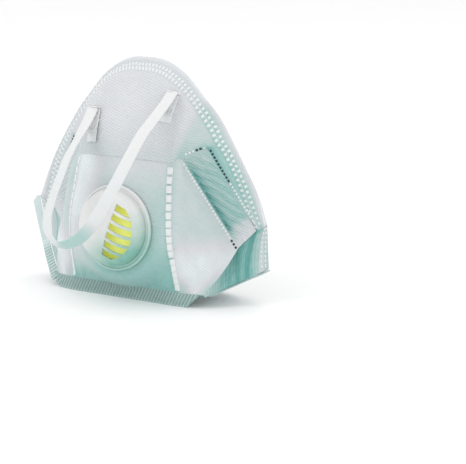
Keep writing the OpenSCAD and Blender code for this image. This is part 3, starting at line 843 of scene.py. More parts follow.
def front_grid():
    half = 76
    rows = 84
    ks = np.linspace(0, FRONT_COLS, half + 1)
    ks[np.abs(ks - WELD_COL).argmin()] = WELD_COL
    ts = np.linspace(0, 1, rows + 1)
    right = np.array([[front_at(k, t) for t in ts] for k in ks])
    left = mirrored(right[:-1])
    grid = np.concatenate([left, right[::-1]])
    col = np.concatenate([ks[:-1], ks[::-1]])[:, None]
    n = normals_of(grid)
    low = arcs(grid, 1)
    high = low[:, -1:] - low
    across = arcs(grid, 0)
    weld_left = across[np.abs(ks - WELD_COL).argmin()]
    weld_right = across[-1 - np.abs(ks - WELD_COL).argmin()]
    from_weld = np.minimum(np.abs(across - weld_left), np.abs(across - weld_right))
    from_end = np.minimum(across, across[-1:] - across)
    away = np.hypot(grid[..., 0] - VALVE_AT[0], grid[..., 2] - VALVE_AT[2])
    free = smooth((away - 23) / 9)
    inner = free * smooth(low / 5) * smooth(high / 5) * smooth(from_end / 5)
    ends = smooth(low / 3) * smooth(high / 3)
    side = smooth((WELD_COL - col) / 0.8)
    bump = -0.9 * hump(from_weld, 1.7) * ends + 0.75 * hump(from_weld - 5.5, 3.0) * inner
    bump = bump + 0.75 * ripple(grid, 15, 2.3) * inner
    bump = bump + 1.5 * side * smooth(from_end / 9) * smooth(low / 14) * smooth(high / 12)
    crease = np.sin(2 * math.pi * grid[..., 0] / 5.3 + 2 * ripple(grid, 12, 0.9))
    bump = bump + 0.28 * crease * hump(low - 1.5, 4.5) * smooth(low / 1.2)
    bump = bump - 0.1 * hump(high, 1.8) * (1 - side)
    grid = grid + n * bump[..., None]
    z = grid[..., 2] / KZ
    x = grid[..., 0] / KX
    # Tone and painted shade: teal painted shade deepens toward the bottom and on the lower right and
    # lightens toward the top and on the left; the side parts are darkest at their foot and outer ends; the
    # weld lines darken, and painted shadow lies under the valve.
    tone_and_shade = 0.34 + 0.30 * (1 - smooth((z - 6) / 34)) + 0.04 * ripple(grid, 18, 1.1)
    tone_and_shade = tone_and_shade - 0.07 * smooth((z - 55) / 14)
    tone_and_shade = tone_and_shade + 0.12 * smooth((x - 2) / 20) * (1 - side) * (1 - smooth((z - 40) / 22))
    tone_and_shade = tone_and_shade - 0.2 * smooth((-x - 6) / 16) * smooth((z - 8) / 10)
    part = 0.34 - 0.22 * (1 - smooth((z - 22) / 16)) + 0.04 * ripple(grid, 9, 2.9)
    part = part + 0.34 * (1 - smooth((z - 5) / 13)) * (1 - smooth((np.abs(x) - 33) / 7))
    part = part + 0.30 * hump(from_end, 3.5) * (1 - smooth((z - 10) / 12))
    tone_and_shade = lerp(tone_and_shade, part, smooth((WELD_COL + 0.1 - col) / 0.5))
    tone_and_shade = tone_and_shade + 0.08 * hump(from_weld, 2.4) + 0.08 * hump(away - 21, 4) * (z < 40)
    return grid, np.clip(tone_and_shade, 0, 1)


def pleat_grid(side):
    across = 40
    along = 72
    grid = np.empty((across + 1, along + 1, 3))
    tone_and_shade = np.empty((across + 1, along + 1))
    for i in range(across + 1):
        for j in range(along + 1):
            s = i / across
            t = j / along
            p = lerp(lerp(PLEAT_A, PLEAT_B, s), lerp(PLEAT_D, PLEAT_C, s), t) * SIZE
            wall = min(1.0, 1.25 * smooth(s / 0.15) * (1 - s) ** 0.75)
            cap = smooth(t / 0.1) * smooth((1 - t) / 0.18)
            streak = math.sin(2 * math.pi * (3.0 * s - 6.6 * t) + 1.3 * math.sin(9 * t + 2 * s))
            body = smooth(s / 0.12) * smooth((1 - s) / 0.15) * cap
            depth = PLEAT_DEPTH * 0.97 * wall * cap + 0.3 * streak * body
            # Tone and painted shade: the recess is teal painted shade, darkest along the wall by its upper
            # edge where the fold above shades it, with streaks on its ripples and a light flat foot; the
            # left pleat gets much less shade.
            tone_and_shade[i, j] = 0.46 + 0.12 * smooth(t / 0.3) * cap + 0.07 * streak * body
            tone_and_shade[i, j] += 0.34 * hump(s - 0.13, 0.13) * cap * smooth(t / 0.2)
            tone_and_shade[i, j] -= 0.26 * smooth((t - 0.8) / 0.08)
            grid[i, j] = p + inward(p) * depth
    if side < 0:
        tone_and_shade = 0.2 + 0.3 * (tone_and_shade - 0.2)
    grid = grid if side > 0 else mirrored(grid)
    return grid, np.clip(tone_and_shade, 0, 1)


def gusset_grid(side):
    around = 170
    down = 30
    grid = np.empty((around + 1, down + 1, 3))
    tone_and_shade = np.empty((around + 1, down + 1))
    for i in range(around + 1):
        u = i / around
        a = gusset_top(u)
        b = gusset_foot(u)
        tall = np.linalg.norm(b - a)
        room = min(1.0, 4 * u, 5 * (1 - u)) * min(1.0, tall / 15)
        fold = 0.5 + 0.5 * math.cos(2 * math.pi * 6.5 * u + 0.8)
        valley = hump(u - 0.66, 0.03) + 0.6 * hump(u - 0.5, 0.02)
        for j in range(down + 1):
            t = j / down
            p = lerp(a, b, t)
            belly = 4 * t * (1 - t)
            deep = (2.2 + 1.7 * fold * smooth(belly * 1.6) + 1.3 * valley) * belly ** 0.7
            grid[i, j] = p + inward(p) * deep * room
            # Tone and painted shade: the gusset is deep teal painted shade, lighter near its front and
            # toward its rear end, darker along two creases and varying across its folds; the left gusset
            # gets much less shade.
            dark = 0.84 - 0.44 * smooth((u - 0.72) / 0.12) - 0.16 * (fold - 0.5) + 0.2 * valley
            low = lerp(0.42, 0.72, smooth(u / 0.3))
            tone_and_shade[i, j] = lerp(low, dark, smooth((u - 0.2) / 0.25)) + 0.03 * math.sin(31 * t + 6 * u)
    if side < 0:
        tone_and_shade = 0.22 + 0.35 * (tone_and_shade - 0.22)
    grid = grid if side > 0 else mirrored(grid)
    return grid, np.clip(tone_and_shade, 0, 1)


def chin_grid():
    across = 72
    along = 60
    grid = np.empty((across + 1, along + 1, 3))
    for i in range(across + 1):
        for j in range(along + 1):
            grid[i, j] = chin_at(2 * i / across - 1, j / along)
    low = arcs(grid, 1)
    high = low[:, -1:] - low
    cross = arcs(grid, 0)
    side = np.minimum(cross, cross[-1:] - cross)
    inner = smooth(low / 5) * smooth(high / 6) * smooth(side / 6)
    n = normals_of(grid)
    bump = -0.55 * (0.5 + 0.5 * ripple(grid, 11, 4.1)) * inner
    for row in RIM_ROWS:
        bump = bump - 0.3 * hump(high - row + 2, 0.8) * smooth(side / 4)
    grid = grid + n * bump[..., None]
    # Tone and painted shade: random tone plus teal painted shade deepening toward the front edge and the
    # sides.
    tone_and_shade = 0.36 + 0.12 * ripple(grid, 16, 3.3) + 0.15 * hump(low, 6) + 0.1 * hump(side, 6)
    return grid, np.clip(tone_and_shade, 0, 1)


# ---------------------------------------------------------------- welds


def pads(name, frames, length, width, rise, material):
    """Small pillowed pads in one mesh; each frame is a place, a run and an outward normal."""
    work = bmesh.new()
    ring = []
    for x, y in PAD_OUTLINE:
        ring.append((x * length / 2, y * width / 2))
    for place, run, out in frames:
        run = unit(run - out * np.dot(run, out))
        cross = np.cross(out, run)
        rings = []
        for grow, lift in ((1.0, -0.3), (1.0, rise * 0.4), (0.72, rise)):
            rings.append([
                work.verts.new(Vector((place + run * x * grow + cross * y * grow + out * lift) * MM))
                for x, y in ring])
        for low, high in zip(rings, rings[1:]):
            for i in range(8):
                j = (i + 1) % 8
                work.faces.new((low[i], low[j], high[j], high[i]))
        work.faces.new(rings[-1])
        work.faces.new(rings[0][::-1])
    return finished(name, bpy.data.meshes.new(name), work, material, PAD_SOFT)


def spaced(line, pitch, start=0.0):
    """Places at even distances along a line, each with the direction of the line."""
    run = np.concatenate([[0], np.cumsum(np.linalg.norm(np.diff(line, axis=0), axis=1))])
    count = int((run[-1] - 2 * start) / pitch)
    at = start + (run[-1] - 2 * start - count * pitch) / 2 + pitch * np.arange(count + 1)
    pos = np.stack([np.interp(at, run, line[:, i]) for i in range(3)], 1)
    ahead = np.stack([np.interp(at + 0.3, run, line[:, i]) for i in range(3)], 1)
    behind = np.stack([np.interp(at - 0.3, run, line[:, i]) for i in range(3)], 1)
    return pos, unit(ahead - behind)


def stepped(line, pitch):
    """Places along a line whose distance changes with the place."""
    run = np.concatenate([[0], np.cumsum(np.linalg.norm(np.diff(line, axis=0), axis=1))])
    at = []
    s = 0.4
    while s < run[-1] - 0.4:
        at.append(s)
        s += pitch(np.interp(s, run, line[:, 0]))
    pos = np.stack([np.interp(at, run, line[:, i]) for i in range(3)], 1)
    ahead = np.stack([np.interp(np.array(at) + 0.3, run, line[:, i]) for i in range(3)], 1)
    return pos, unit(ahead - pos)


def rim_pitch(x):
    return lerp(2.0, 2.7, smooth((abs(x) - 10) / 30))


def line_on(grid, distance_map, distance):
    """The line on a grid at one distance from its last row, with its outward normals."""
    n = normals_of(grid)
    line = []
    out = []
    for i in range(grid.shape[0]):
        d = distance_map[i]
        if d[0] < distance:
            continue
        order = np.argsort(d)
        line.append([np.interp(distance, d[order], grid[i, order, c]) for c in range(3)])
        out.append([np.interp(distance, d[order], n[i, order, c]) for c in range(3)])
    out = unit(np.array(out))
    return np.array(line), out


def rim_line_at(grid, distance):
    low = arcs(grid, 1)
    return line_on(grid, low[:, -1:] - low, distance)


def frames_along(line, normals, pitch, start=0.0):
    if callable(pitch):
        pos, run = stepped(line, pitch)
    else:
        pos, run = spaced(line, pitch, start)
    frames = []
    for p, r in zip(pos, run):
        near = np.linalg.norm(line - p, axis=1).argmin()
        frames.append((p, r, normals[near]))
    return frames


def dress(obj, body, slot, *nodes):
    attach(obj, body)
    if nodes:
        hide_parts(*nodes)
    return obj


def rim_welds(grid):
    bright = weld_material("Weld Marks", WELD_COLOR)
    for node_name, distance in zip(("rim_weld_outer", "rim_weld_inner"), RIM_ROWS):
        line, out = rim_line_at(grid, distance)
        frames = frames_along(line, out, rim_pitch)
        obj = pads(f"{node_name}_marks", frames, *RIM_PAD, bright)
        dress(obj, SHELL, "weld", node_name)


def front_welds(grid):
    bright = weld_material("Weld Marks", WELD_COLOR)
    n = normals_of(grid)
    ks = np.linspace(0, FRONT_COLS, (grid.shape[0] - 1) // 2 + 1)
    i = np.abs(ks - WELD_COL).argmin()
    step = 1 / (DASHES + 0.5)
    rows = grid.shape[1] - 1
    for name, col in (("front_weld_left", i), ("front_weld_right", -1 - i)):
        frames = []
        for d in range(DASHES):
            middle = (d + 0.8) * step
            j = int(round(middle * rows))
            run = grid[col, min(j + 2, rows)] - grid[col, j - 2]
            frames.append((grid[col, j] + n[col, j] * 0.25, run, n[col, j]))
        size = DASH_PAD if name == "front_weld_right" else PRESSED_DASH_PAD
        obj = pads(f"{name}_dashes", frames, *size, bright)
        dress(obj, SHELL, "weld", name)


def edge_line(grid, picked, distances, away):
    """The line on the picked columns at one distance from an edge, with its normals."""
    n = normals_of(grid)
    line = []
    out = []
    for i in picked:
        order = np.argsort(distances[i])
        line.append([np.interp(away, distances[i, order], grid[i, order, c]) for c in range(3)])
        out.append([np.interp(away, distances[i, order], n[i, order, c]) for c in range(3)])
    return np.array(line), unit(np.array(out))


def pleat_dots(side, upper, front):
    """Needle weld rows round a pleat: light dots, and at three corners a few open holes drawn as dark pads
    of painted shade.
    """
    light = []
    dark = []

    def row(line, out, pitch, size_of):
        frames = frames_along(line, out, pitch, 0.8)
        for i, frame_at in enumerate(frames):
            size = size_of(i, len(frames))
            (dark if size else light).append(frame_at)

    half = (upper.shape[0] - 1) // 2
    ks = np.linspace(0, UPPER_COLS, half + 1)
    low = arcs(upper, 1)
    index = np.arange(half + 1)
    index = index if side < 0 else upper.shape[0] - 1 - index
    long_edge = index[ks <= N_ROW][::-1]
    short_edge = index[(ks >= N_ROW) & (ks <= N_ROW + N_END)]
    row(*edge_line(upper, long_edge, low, 1.3), 1.85, lambda i, n: i < 10)
    row(*edge_line(upper, short_edge, low, 1.3), 1.85, lambda i, n: i in (1, 2))
    half = (front.shape[0] - 1) // 2
    ks = np.linspace(0, FRONT_COLS, half + 1)
    low = arcs(front, 1)
    index = np.arange(half + 1)
    index = index if side < 0 else front.shape[0] - 1 - index
    row(*edge_line(front, index[ks <= N_ROW][::-1], low[:, -1:] - low, 1.1), 1.9, lambda i, n: i > n - 4)
    tag = "right" if side > 0 else "left"
    white = weld_material("Weld Marks", WELD_COLOR)
    # Painted shade: the open needle holes are near-black pads standing in for the shade inside them.
    hole_shade = weld_material("Needle Holes", (0.02, 0.045, 0.05))
    dress(pads(f"pleat_{tag}_dots", light, 1.15, 1.15, 0.3, white), SHELL, "weld")
    dress(pads(f"pleat_{tag}_needle_holes", dark, 1.2, 1.2, 0.12, hole_shade), SHELL, "weld")


def rear_stitches(side, grid):
    """The rim's two weld rows go on down the rear edge of a gusset."""
    n = normals_of(grid)
    white = weld_material("Weld Marks", WELD_COLOR)
    frames = []
    last = grid.shape[0] - 1
    for share in (0.9, 0.955):
        i = int(round(share * last))
        frames += frames_along(grid[i, 1:-2], n[i, 1:-2], 2.4, 0.6)
    tag = "right" if side > 0 else "left"
    dress(pads(f"gusset_{tag}_rear_welds", frames, 1.6, 0.8, 0.25, white), SHELL, "weld")


# ---------------------------------------------------------------- seams


def foot_push(x):
    """How far the valve's flat seat draws the front panel's foot forward at one place."""
    p = foot_at(x) * SIZE
    away = math.hypot(p[0] - VALVE_AT[0], p[2] - VALVE_AT[2])
    held = 1 - smooth((away - VALVE_FLAT) / VALVE_BLEND)
    return float(-(VALVE_N * np.dot(p - VALVE_AT, VALVE_N) * held)[1])


def lower_seam():
    right = SEAM_END - 2.2
    left = -SEAM_END - 1.2
    top = SEAM_H + 0.5
    chamfer = top - 1
    corner = 5.2
    nx = 620
    nz = 22
    outer = np.empty((nx + 1, nz + 1, 3))
    inner = np.empty_like(outer)
    tone_and_shade = np.empty((nx + 1, nz + 1))
    for i in range(nx + 1):
        x = lerp(left, right, i / nx)
        foot = max(0.0, x - (right - chamfer))
        if x < left + corner:
            foot = corner - math.sqrt(max(0.0, corner ** 2 - (left + corner - x) ** 2))
        y = seam_curve(x)
        push = foot_push(x)
        for j in range(nz + 1):
            z = lerp(foot, top, j / nz)
            flare = push * smooth((z - top + 2.6) / 2.2)
            edge = min(1.0, (z - foot) / 0.7) * min(1.0, (top - z) / 0.5)
            turn = math.atan2(top - z, max(0.01, x - left)) if x < left + corner else 0
            phase = (x - 0.5 * z) / 1.75 + turn
            line = max(0.0, math.sin(2 * math.pi * phase)) ** 1.5
            ridge = 0.42 * line * smooth(edge) - 0.25 * (1 - smooth(edge))
            outer[i, j] = (x * KX, y * KY - ridge + flare, z)
            inner[i, j] = (x * KX, (y + SEAM_T) * KY + ridge, z)
            # Painted shade: the hem is deep teal, lighter on its welded ridges, toward its ends and at its
            # foot.
            ends = smooth((abs(x) - 18) / 24)
            tone_and_shade[i, j] = 0.84 - 0.56 * line * smooth(edge) - 0.14 * ends - 0.34 * (1 - smooth(z / 1.6))
    uv = np.stack([outer[..., 0], outer[..., 2]], -1)
    obj = closed_sheet("lower_seam_hem", outer, inner, np.clip(tone_and_shade, 0, 1), uv, seam_material())
    dress(obj, SHELL, "seam_web", "lower_seam")


def left_side_seam():
    last = 300
    low_share = 20 / 27
    path = []
    for i in range(last + 1):
        q = i / last
        if q < low_share:
            path.append(gusset_foot(q / low_share))
        else:
            path.append(lerp(gusset_foot(1.0), gusset_top(1.0), (q - low_share) / (1 - low_share)))
    path = mirrored(np.array(path))
    away = -inward(path)
    run = np.gradient(path, axis=0)
    thick = unit(np.cross(away, run))
    length = np.concatenate([[0], np.cumsum(np.linalg.norm(np.diff(path, axis=0), axis=1))])
    width = 4.6 * smooth((length + 8) / 10) * (1 - 0.5 * smooth((length - length[-1] + 3) / 3))
    across = 12
    outer = np.empty((last + 1, across + 1, 3))
    inner = np.empty_like(outer)
    tone_and_shade = np.empty((last + 1, across + 1))
    for j in range(across + 1):
        w = lerp(0.1, 1.0, j / across)
        edge = min(1.0, (1 - w) / 0.12)
        wave = np.sin(2 * math.pi * length / 2.4) * (0.5 + 0.5 * edge) * (1 - smooth((length - 24) / 8))
        half = 0.36 + 0.14 * wave - 0.2 * (1 - edge)
        mid = path + away * (width * w)[:, None]
        outer[:, j] = mid + thick * half[:, None]
        inner[:, j] = mid - thick * half[:, None]
        # Painted shade: the teal rises and falls with the hem's waves and fades toward its upper end.
        tone_and_shade[:, j] = 0.38 - 0.2 * wave - 0.34 * smooth((length - 22) / 12)
    uv = np.stack([np.broadcast_to(length[:, None], tone_and_shade.shape),
                   np.broadcast_to(np.arange(across + 1) * 0.4, tone_and_shade.shape)], -1)
    obj = closed_sheet("left_side_hem", outer, inner, np.clip(tone_and_shade, 0, 1), uv, seam_material())
    dress(obj, SHELL, "seam_web", "left_side_seam")


def right_side_seam():
    along = 200
    across = 8
    outer = np.empty((along + 1, across + 1, 3))
    inner = np.empty_like(outer)
    tone_and_shade = np.empty((along + 1, across + 1))
    for i in range(along + 1):
        t = lerp(0.1, 1.0, i / along)
        p = chin_at(1.0, t)
        q = lerp(p, chin_at(1 - 1 / 6, t), 0.6)
        for j in range(across + 1):
            m = lerp(p, q, j / across)
            d = inward(m)
            wave = 0.1 * math.sin(2 * math.pi * i * 42 / along / 1.35)
            outer[i, j] = m - d * (1.2 + wave)
            inner[i, j] = m - d * 0.35
            # Painted shade: the teal follows the hem's waves.
            tone_and_shade[i, j] = 0.42 - 2.2 * wave
    uv = np.stack([arcs(outer, 0), arcs(outer, 1)], -1)
    obj = closed_sheet("right_side_hem", outer, inner, np.clip(tone_and_shade, 0, 1), uv, seam_material())
    dress(obj, SHELL, "seam_web", "right_side_seam")


# ---------------------------------------------------------------- nose clip and foam


def nose_bar(name, t0, t1, d0, d1, corner, material):
    """A rounded strip that follows the inside of the upper panel under the rim."""
    ks = [k for k in np.linspace(0, UPPER_COLS, 150) if rim_share(k) >= 0.5]
    halves = [(k, 1) for k in ks] + [(k, -1) for k in ks[-2::-1]]
    ring = 20
    rows = []
    for n, (k, side) in enumerate(halves):
        end = min(n, len(halves) - 1 - n)
        trim = 1 - 0.35 * (1 - smooth(end / 4))
        line = []
        for i in range(ring):
            a = 2 * math.pi * i / ring
            x = math.copysign(abs(math.cos(a)) ** corner, math.cos(a)) * trim
            y = math.copysign(abs(math.sin(a)) ** corner, math.sin(a)) * trim
            p = upper_at(k, lerp(t0, t1, 0.5 + 0.5 * x)) * np.array([side, 1, 1])
            line.append(p + inward(p) * lerp(d0, d1, 0.5 + 0.5 * y))
        rows.append(line)
    grid = np.array(rows)
    work = bmesh.new()
    rings = [[work.verts.new(Vector(p * MM)) for p in line] for line in grid]
    for a, b in zip(rings, rings[1:]):
        for i in range(ring):
            j = (i + 1) % ring
            work.faces.new((a[i], a[j], b[j], b[i]))
    work.faces.new(rings[0][::-1])
    work.faces.new(rings[-1])
    return finished(name, bpy.data.meshes.new(name), work, material, PAD_SOFT)


# ---------------------------------------------------------------- valve


def moulded_copy(node_name, name, bevel, material, body=SHELL, segments=2):
    """A copy of a CAD node with its doubles merged and its edges rounded."""
    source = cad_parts[node_name]
    mesh = source.data.copy()
    mesh.name = name
    obj = link(bpy.data.objects.new(name, mesh))
    mesh.materials.clear()
    mesh.materials.append(material)
    select_only(obj)
    bpy.ops.object.mode_set(mode="EDIT")
    bpy.ops.mesh.select_all(action="SELECT")
    bpy.ops.mesh.remove_doubles(threshold=0.00002)
    bpy.ops.mesh.dissolve_limited(angle_limit=math.radians(0.6))
    bpy.ops.mesh.normals_make_consistent(inside=False)
    bpy.ops.object.mode_set(mode="OBJECT")
    m = obj.modifiers.new("edges", "BEVEL")
    m.width = bevel * MM
    m.segments = segments
    m.limit_method = "ANGLE"
    m.angle_limit = math.radians(32)
    m.harden_normals = False
    apply_modifiers(obj)
    smooth_by_angle(obj, 32)
    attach(obj, body)
    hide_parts(node_name)
    return obj


def flange_bead(material):
    """The raised bead round the flange's edge."""
    bpy.ops.object.select_all(action="DESELECT")
    bpy.ops.mesh.primitive_torus_add(
        major_radius=20.3 * MM, minor_radius=0.55 * MM, major_segments=120, minor_segments=14)
    obj = bpy.context.active_object
    obj.name = "valve_flange_bead"
    obj.data.name = obj.name
    turn = Matrix.Rotation(math.pi / 2 - VALVE_TILT, 4, "X")
    lift = Matrix.Translation(Vector((VALVE_AT + VALVE_N * 1.65) * MM))
    select_only(obj)
    bpy.ops.object.mode_set(mode="EDIT")
    bpy.ops.mesh.select_all(action="SELECT")
    bpy.ops.transform.resize(value=(1, 1, 0.7))
    bpy.ops.object.mode_set(mode="OBJECT")
    obj.data.transform(lift @ turn)
    obj.data.materials.append(material)
    smooth_by_angle(obj, 60)
    dress(obj, SHELL, "valve_plastic")


# ---------------------------------------------------------------- strap


def anchor(side):
    p = upper_at(ANCHOR_COL, ANCHOR_RISE + ANCHOR_SKEW * side) * np.array([side, 1, 1])
    return p - inward(p) * ANCHOR_LIFT


def strap_line(fine):
    route = np.concatenate([[anchor(1)], STRAP_ROUTE * SIZE, [anchor(-1)]])
    last = len(route) - 1
    line = []
    for i in range(last):
        a = route[max(i - 1, 0)]
        d = route[min(i + 2, last)]
        for j in range(fine):
            line.append(catmull(a, route[i], route[i + 1], d, j / fine))
    line.append(route[last])
    return np.array(line)


def band_sections(line, width, thick, facing):
    """Ring of points for each place on the line: a flat band with rounded edges and soft cords."""
    run = unit(np.gradient(line, axis=0))
    across = unit(np.cross(facing, run))
    up = unit(np.cross(run, across))
    span = np.linspace(-1, 1, 17)
    profile = []
    for s in span:
        cords = 0.05 * math.cos(5 * math.pi * s)
        profile.append((s * width / 2, (thick / 2) * (1 - 0.55 * abs(s) ** 6) + cords * (1 - s * s)))
    top = [across * x + up * h for x, h in profile]
    under = [across * x - up * h for x, h in profile[::-1]]
    return np.stack([line + o for o in top + under], 1)


def tube(name, rings, tone_and_shade, material):
    """A closed mesh through rings of points, with a UV map in metres."""
    n, k = rings.shape[:2]
    index = np.arange(n * k).reshape(n, k)
    ahead = np.roll(index, -1, axis=1)
    walls = np.stack([index[:-1], ahead[:-1], ahead[1:], index[1:]], -1).reshape(-1, 4)
    faces = walls.tolist() + [index[0, ::-1].tolist(), index[-1].tolist()]
    mesh = bpy.data.meshes.new(name)
    mesh.from_pydata((rings.reshape(-1, 3) * MM).tolist(), [], faces)
    half = k // 2
    cross = np.concatenate([np.linspace(0, 6, half), np.linspace(6, 0, k - half)])
    along = np.concatenate([[0], np.cumsum(np.linalg.norm(np.diff(rings.mean(1), axis=0), axis=1))])
    uv = np.stack(np.broadcast_arrays(cross[None, :], along[:, None]), -1).reshape(-1, 2) * MM
    layer = mesh.uv_layers.new(name="web")
    loops = np.empty(len(mesh.loops), np.int64)
    mesh.loops.foreach_get("vertex_index", loops)
    layer.data.foreach_set("uv", uv[loops].ravel())
    shade = mesh.attributes.new("tone_and_shade", "FLOAT", "POINT")
    shade.data.foreach_set("value", tone_and_shade.ravel().astype(np.float32))
    work = bmesh.new()
    work.from_mesh(mesh)
    return finished(name, mesh, work, material, SHEET_SOFT)


def head_strap():
    line = strap_line(18)
    run = unit(np.gradient(line, axis=0))
    line[0] = line[0] + run[0] * 1.0
    line[-1] = line[-1] - run[-1] * 1.0
    f = smooth((98 - line[:, 2:3] / KZ) / 68)
    facing = np.concatenate([0 * f, -1 + 0.3 * f, -0.72 * f], 1)
    rings = band_sections(line, STRAP_W, STRAP_T, facing)
    # Painted shade: the band turns teal under the lower right of the loop, darkens a little lower down, and
    # its under face is a touch darker.
    low = smooth((48 - line[:, 2]) / 9) * smooth((line[:, 0] + 11) / 8)
    tone_and_shade = np.empty(rings.shape[:2])
    tone_and_shade[:] = 0.03 + 0.1 * smooth((84 - line[:, 2:3]) / 30) + 0.55 * low[:, None]
    tone_and_shade[:, 17:] += 0.05
    obj = tube("head_strap_band", rings, np.clip(tone_and_shade, 0, 1), strap_material())
    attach(obj, STRAP)
    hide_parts("head_strap")


def strap_patch(side):
    """The welded end of the band: flat on the panel, then turned over to meet the strap."""
    t1 = ANCHOR_RISE + ANCHOR_SKEW * side
    flip = np.array([side, 1, 1])
    line = []
    facing = []
    for i in range(26):
        p = upper_at(ANCHOR_COL, t1 - 0.3 * (1 - i / 25)) * flip
        line.append(p - inward(p) * 0.75)
        facing.append(-inward(p))
    top = line[-1]
    up = unit(line[-1] - line[-4])
    out = facing[-1]
    reach = 1.15
    for i in range(1, 13):
        a = math.pi * i / 12
        line.append(top + up * reach * math.sin(a) * 0.9 + out * reach * (1 - math.cos(a)))
        facing.append(out * math.cos(a) + up * math.sin(a))
    line = np.array(line)
    rings = band_sections(line, 6.4, 0.8, np.array(facing))
    # Painted shade: the part lying flat on the panel is a touch darker than the turned-over end.
    tone_and_shade = np.full(rings.shape[:2], 0.02)
    tone_and_shade[:20] = 0.05
    tag = "right" if side > 0 else "left"
    obj = tube(f"strap_patch_{tag}_band", rings, tone_and_shade, strap_material())
    dress(obj, SHELL, "strap_web", f"strap_patch_{tag}")
    weld = weld_material("Weld Marks", WELD_COLOR)
    frames = []
    for c in range(5):
        p = upper_at(ANCHOR_COL, t1 - 0.17) * flip
        q = upper_at(ANCHOR_COL, t1 - 0.13) * flip
        cross = unit(np.cross(facing[5], q - p))
        frames.append((line[12] + cross * (c - 2) * 1.35 + facing[12] * 0.42, q - p, facing[12]))
    dress(pads(f"strap_weld_{tag}", frames, 7.5, 0.6, 0.18, weld), SHELL, "weld")


# ---------------------------------------------------------------- stage


def build_stage(settings):
    bpy.ops.object.select_all(action="DESELECT")
    bpy.ops.mesh.primitive_plane_add(size=40, location=(0, 0, 0))
    floor = bpy.context.active_object
    floor.name = "floor"
    mat, tree, shader = new_material("Pale Floor", 0.9, specular=0.1)
    place = node(tree, "ShaderNodeTexCoord").outputs["Object"]
    soft = noise_node(tree, place, 6, 2)
    paint(tree, shader, mix_color(tree, soft, (0.95, 0.95, 0.95, 1), (0.97, 0.97, 0.97, 1)))
    floor.data.materials.append(mat)
    bpy.context.scene.view_settings.view_transform = "Standard"
    world = bpy.data.worlds.new("Soft Room")
    world.use_nodes = True
    world.node_tree.nodes["Background"].inputs[0].default_value = (1, 1, 1, 1)
    world.node_tree.nodes["Background"].inputs[1].default_value = settings.room_light
    bpy.context.scene.world = world
    for name, spot, aim, size, power in (
            ("key", (-0.45, -0.75, 0.85), (0, 0, 0.06), 0.7, settings.key_power),
            ("fill", (0.9, -0.5, 0.5), (0, 0, 0.05), 0.8, settings.key_power * 0.35),
            ("top", (0.1, 0.5, 1.1), (0, 0, 0.06), 0.8, settings.key_power * 0.5)):
        light = bpy.data.lights.new(name, "AREA")
        light.size = size
        light.energy = power
        lamp = link(bpy.data.objects.new(name, light))
        lamp.location = spot
        lamp.rotation_euler = (Vector(aim) - Vector(spot)).to_track_quat("-Z", "Y").to_euler()


def build_camera():
    """The camera stands right of the front and a little above, aimed past the mask's side."""
    azimuth = math.radians(35.25)
    elevation = math.radians(10.5)
    far = 0.9
    centre = Vector((0, 0.012, 0.058))
    back = Vector((
        math.sin(azimuth) * math.cos(elevation), -math.cos(azimuth) * math.cos(elevation),
        math.sin(elevation)))
    right = Vector((math.cos(azimuth), math.sin(azimuth), 0))
    up = back.cross(right)
    per_m = 2.035 * 1000
    image = (466, 464)
    off = ((image[0] / 2 - 140.2) / per_m, (image[1] / 2 - 177.2) / per_m)
    aim = centre + right * off[0] - up * off[1]
    data = bpy.data.cameras.new("view")
    data.sensor_width = 36
    data.lens = per_m * far * data.sensor_width / image[0]
    camera = link(bpy.data.objects.new("view", data))
    camera.location = centre + back * far
    camera.rotation_euler = (aim - camera.location).to_track_quat("-Z", "Y").to_euler()
    bpy.context.scene.camera = camera


# ---------------------------------------------------------------- add-on


class MaskSettings(bpy.types.PropertyGroup):
    key_power: bpy.props.FloatProperty(
        name="Key Light", description="Power of the main softbox, in watts", default=2.4, min=0)
    room_light: bpy.props.FloatProperty(
        name="Room Light", description="Strength of the even light from all round", default=1.0, min=0)
    shell_color: bpy.props.FloatVectorProperty(
        name="Valve", description="Colour of the valve's mouldings", subtype="COLOR", size=3,
        default=(0.70, 0.71, 0.70), min=0, max=1)
    edge_round: bpy.props.FloatProperty(
        name="Moulding Edges", description="Rounding of the mouldings' edges, in millimetres",
        default=0.22, min=0.05, max=0.5)


def settings_of(context):
    return context.scene.dust_mask


class DUSTMASK_OT_stage(bpy.types.Operator):
    """Add the floor, the lights and the camera"""

    bl_idname = "dustmask.stage"
    bl_label = "Stage"

    def execute(self, context):
        build_stage(settings_of(context))
        build_camera()
        return {"FINISHED"}


class DUSTMASK_OT_strap(bpy.types.Operator):
    """Build the head strap and its two welded ends"""

    bl_idname = "dustmask.strap"
    bl_label = "Head Strap"

    def execute(self, context):
        head_strap()
        strap_patch(1)
        strap_patch(-1)
        return {"FINISHED"}


class DUSTMASK_OT_upper(bpy.types.Operator):
    """Build the upper panel and the weld rows along its rim"""

    bl_idname = "dustmask.upper"
    bl_label = "Upper Panel"

    def execute(self, context):
        grid, tone_and_shade = upper_grid()
        three_layers("upper", grid, tone_and_shade)
        rim_welds(grid)
        return {"FINISHED"}


class DUSTMASK_OT_front(bpy.types.Operator):
    """Build the front panel, its side parts and their dashed welds"""

    bl_idname = "dustmask.front"
    bl_label = "Front Panel"

    def execute(self, context):
        grid, tone_and_shade = front_grid()
        three_layers("front", grid, tone_and_shade, hole=True)
        front_welds(grid)
        return {"FINISHED"}


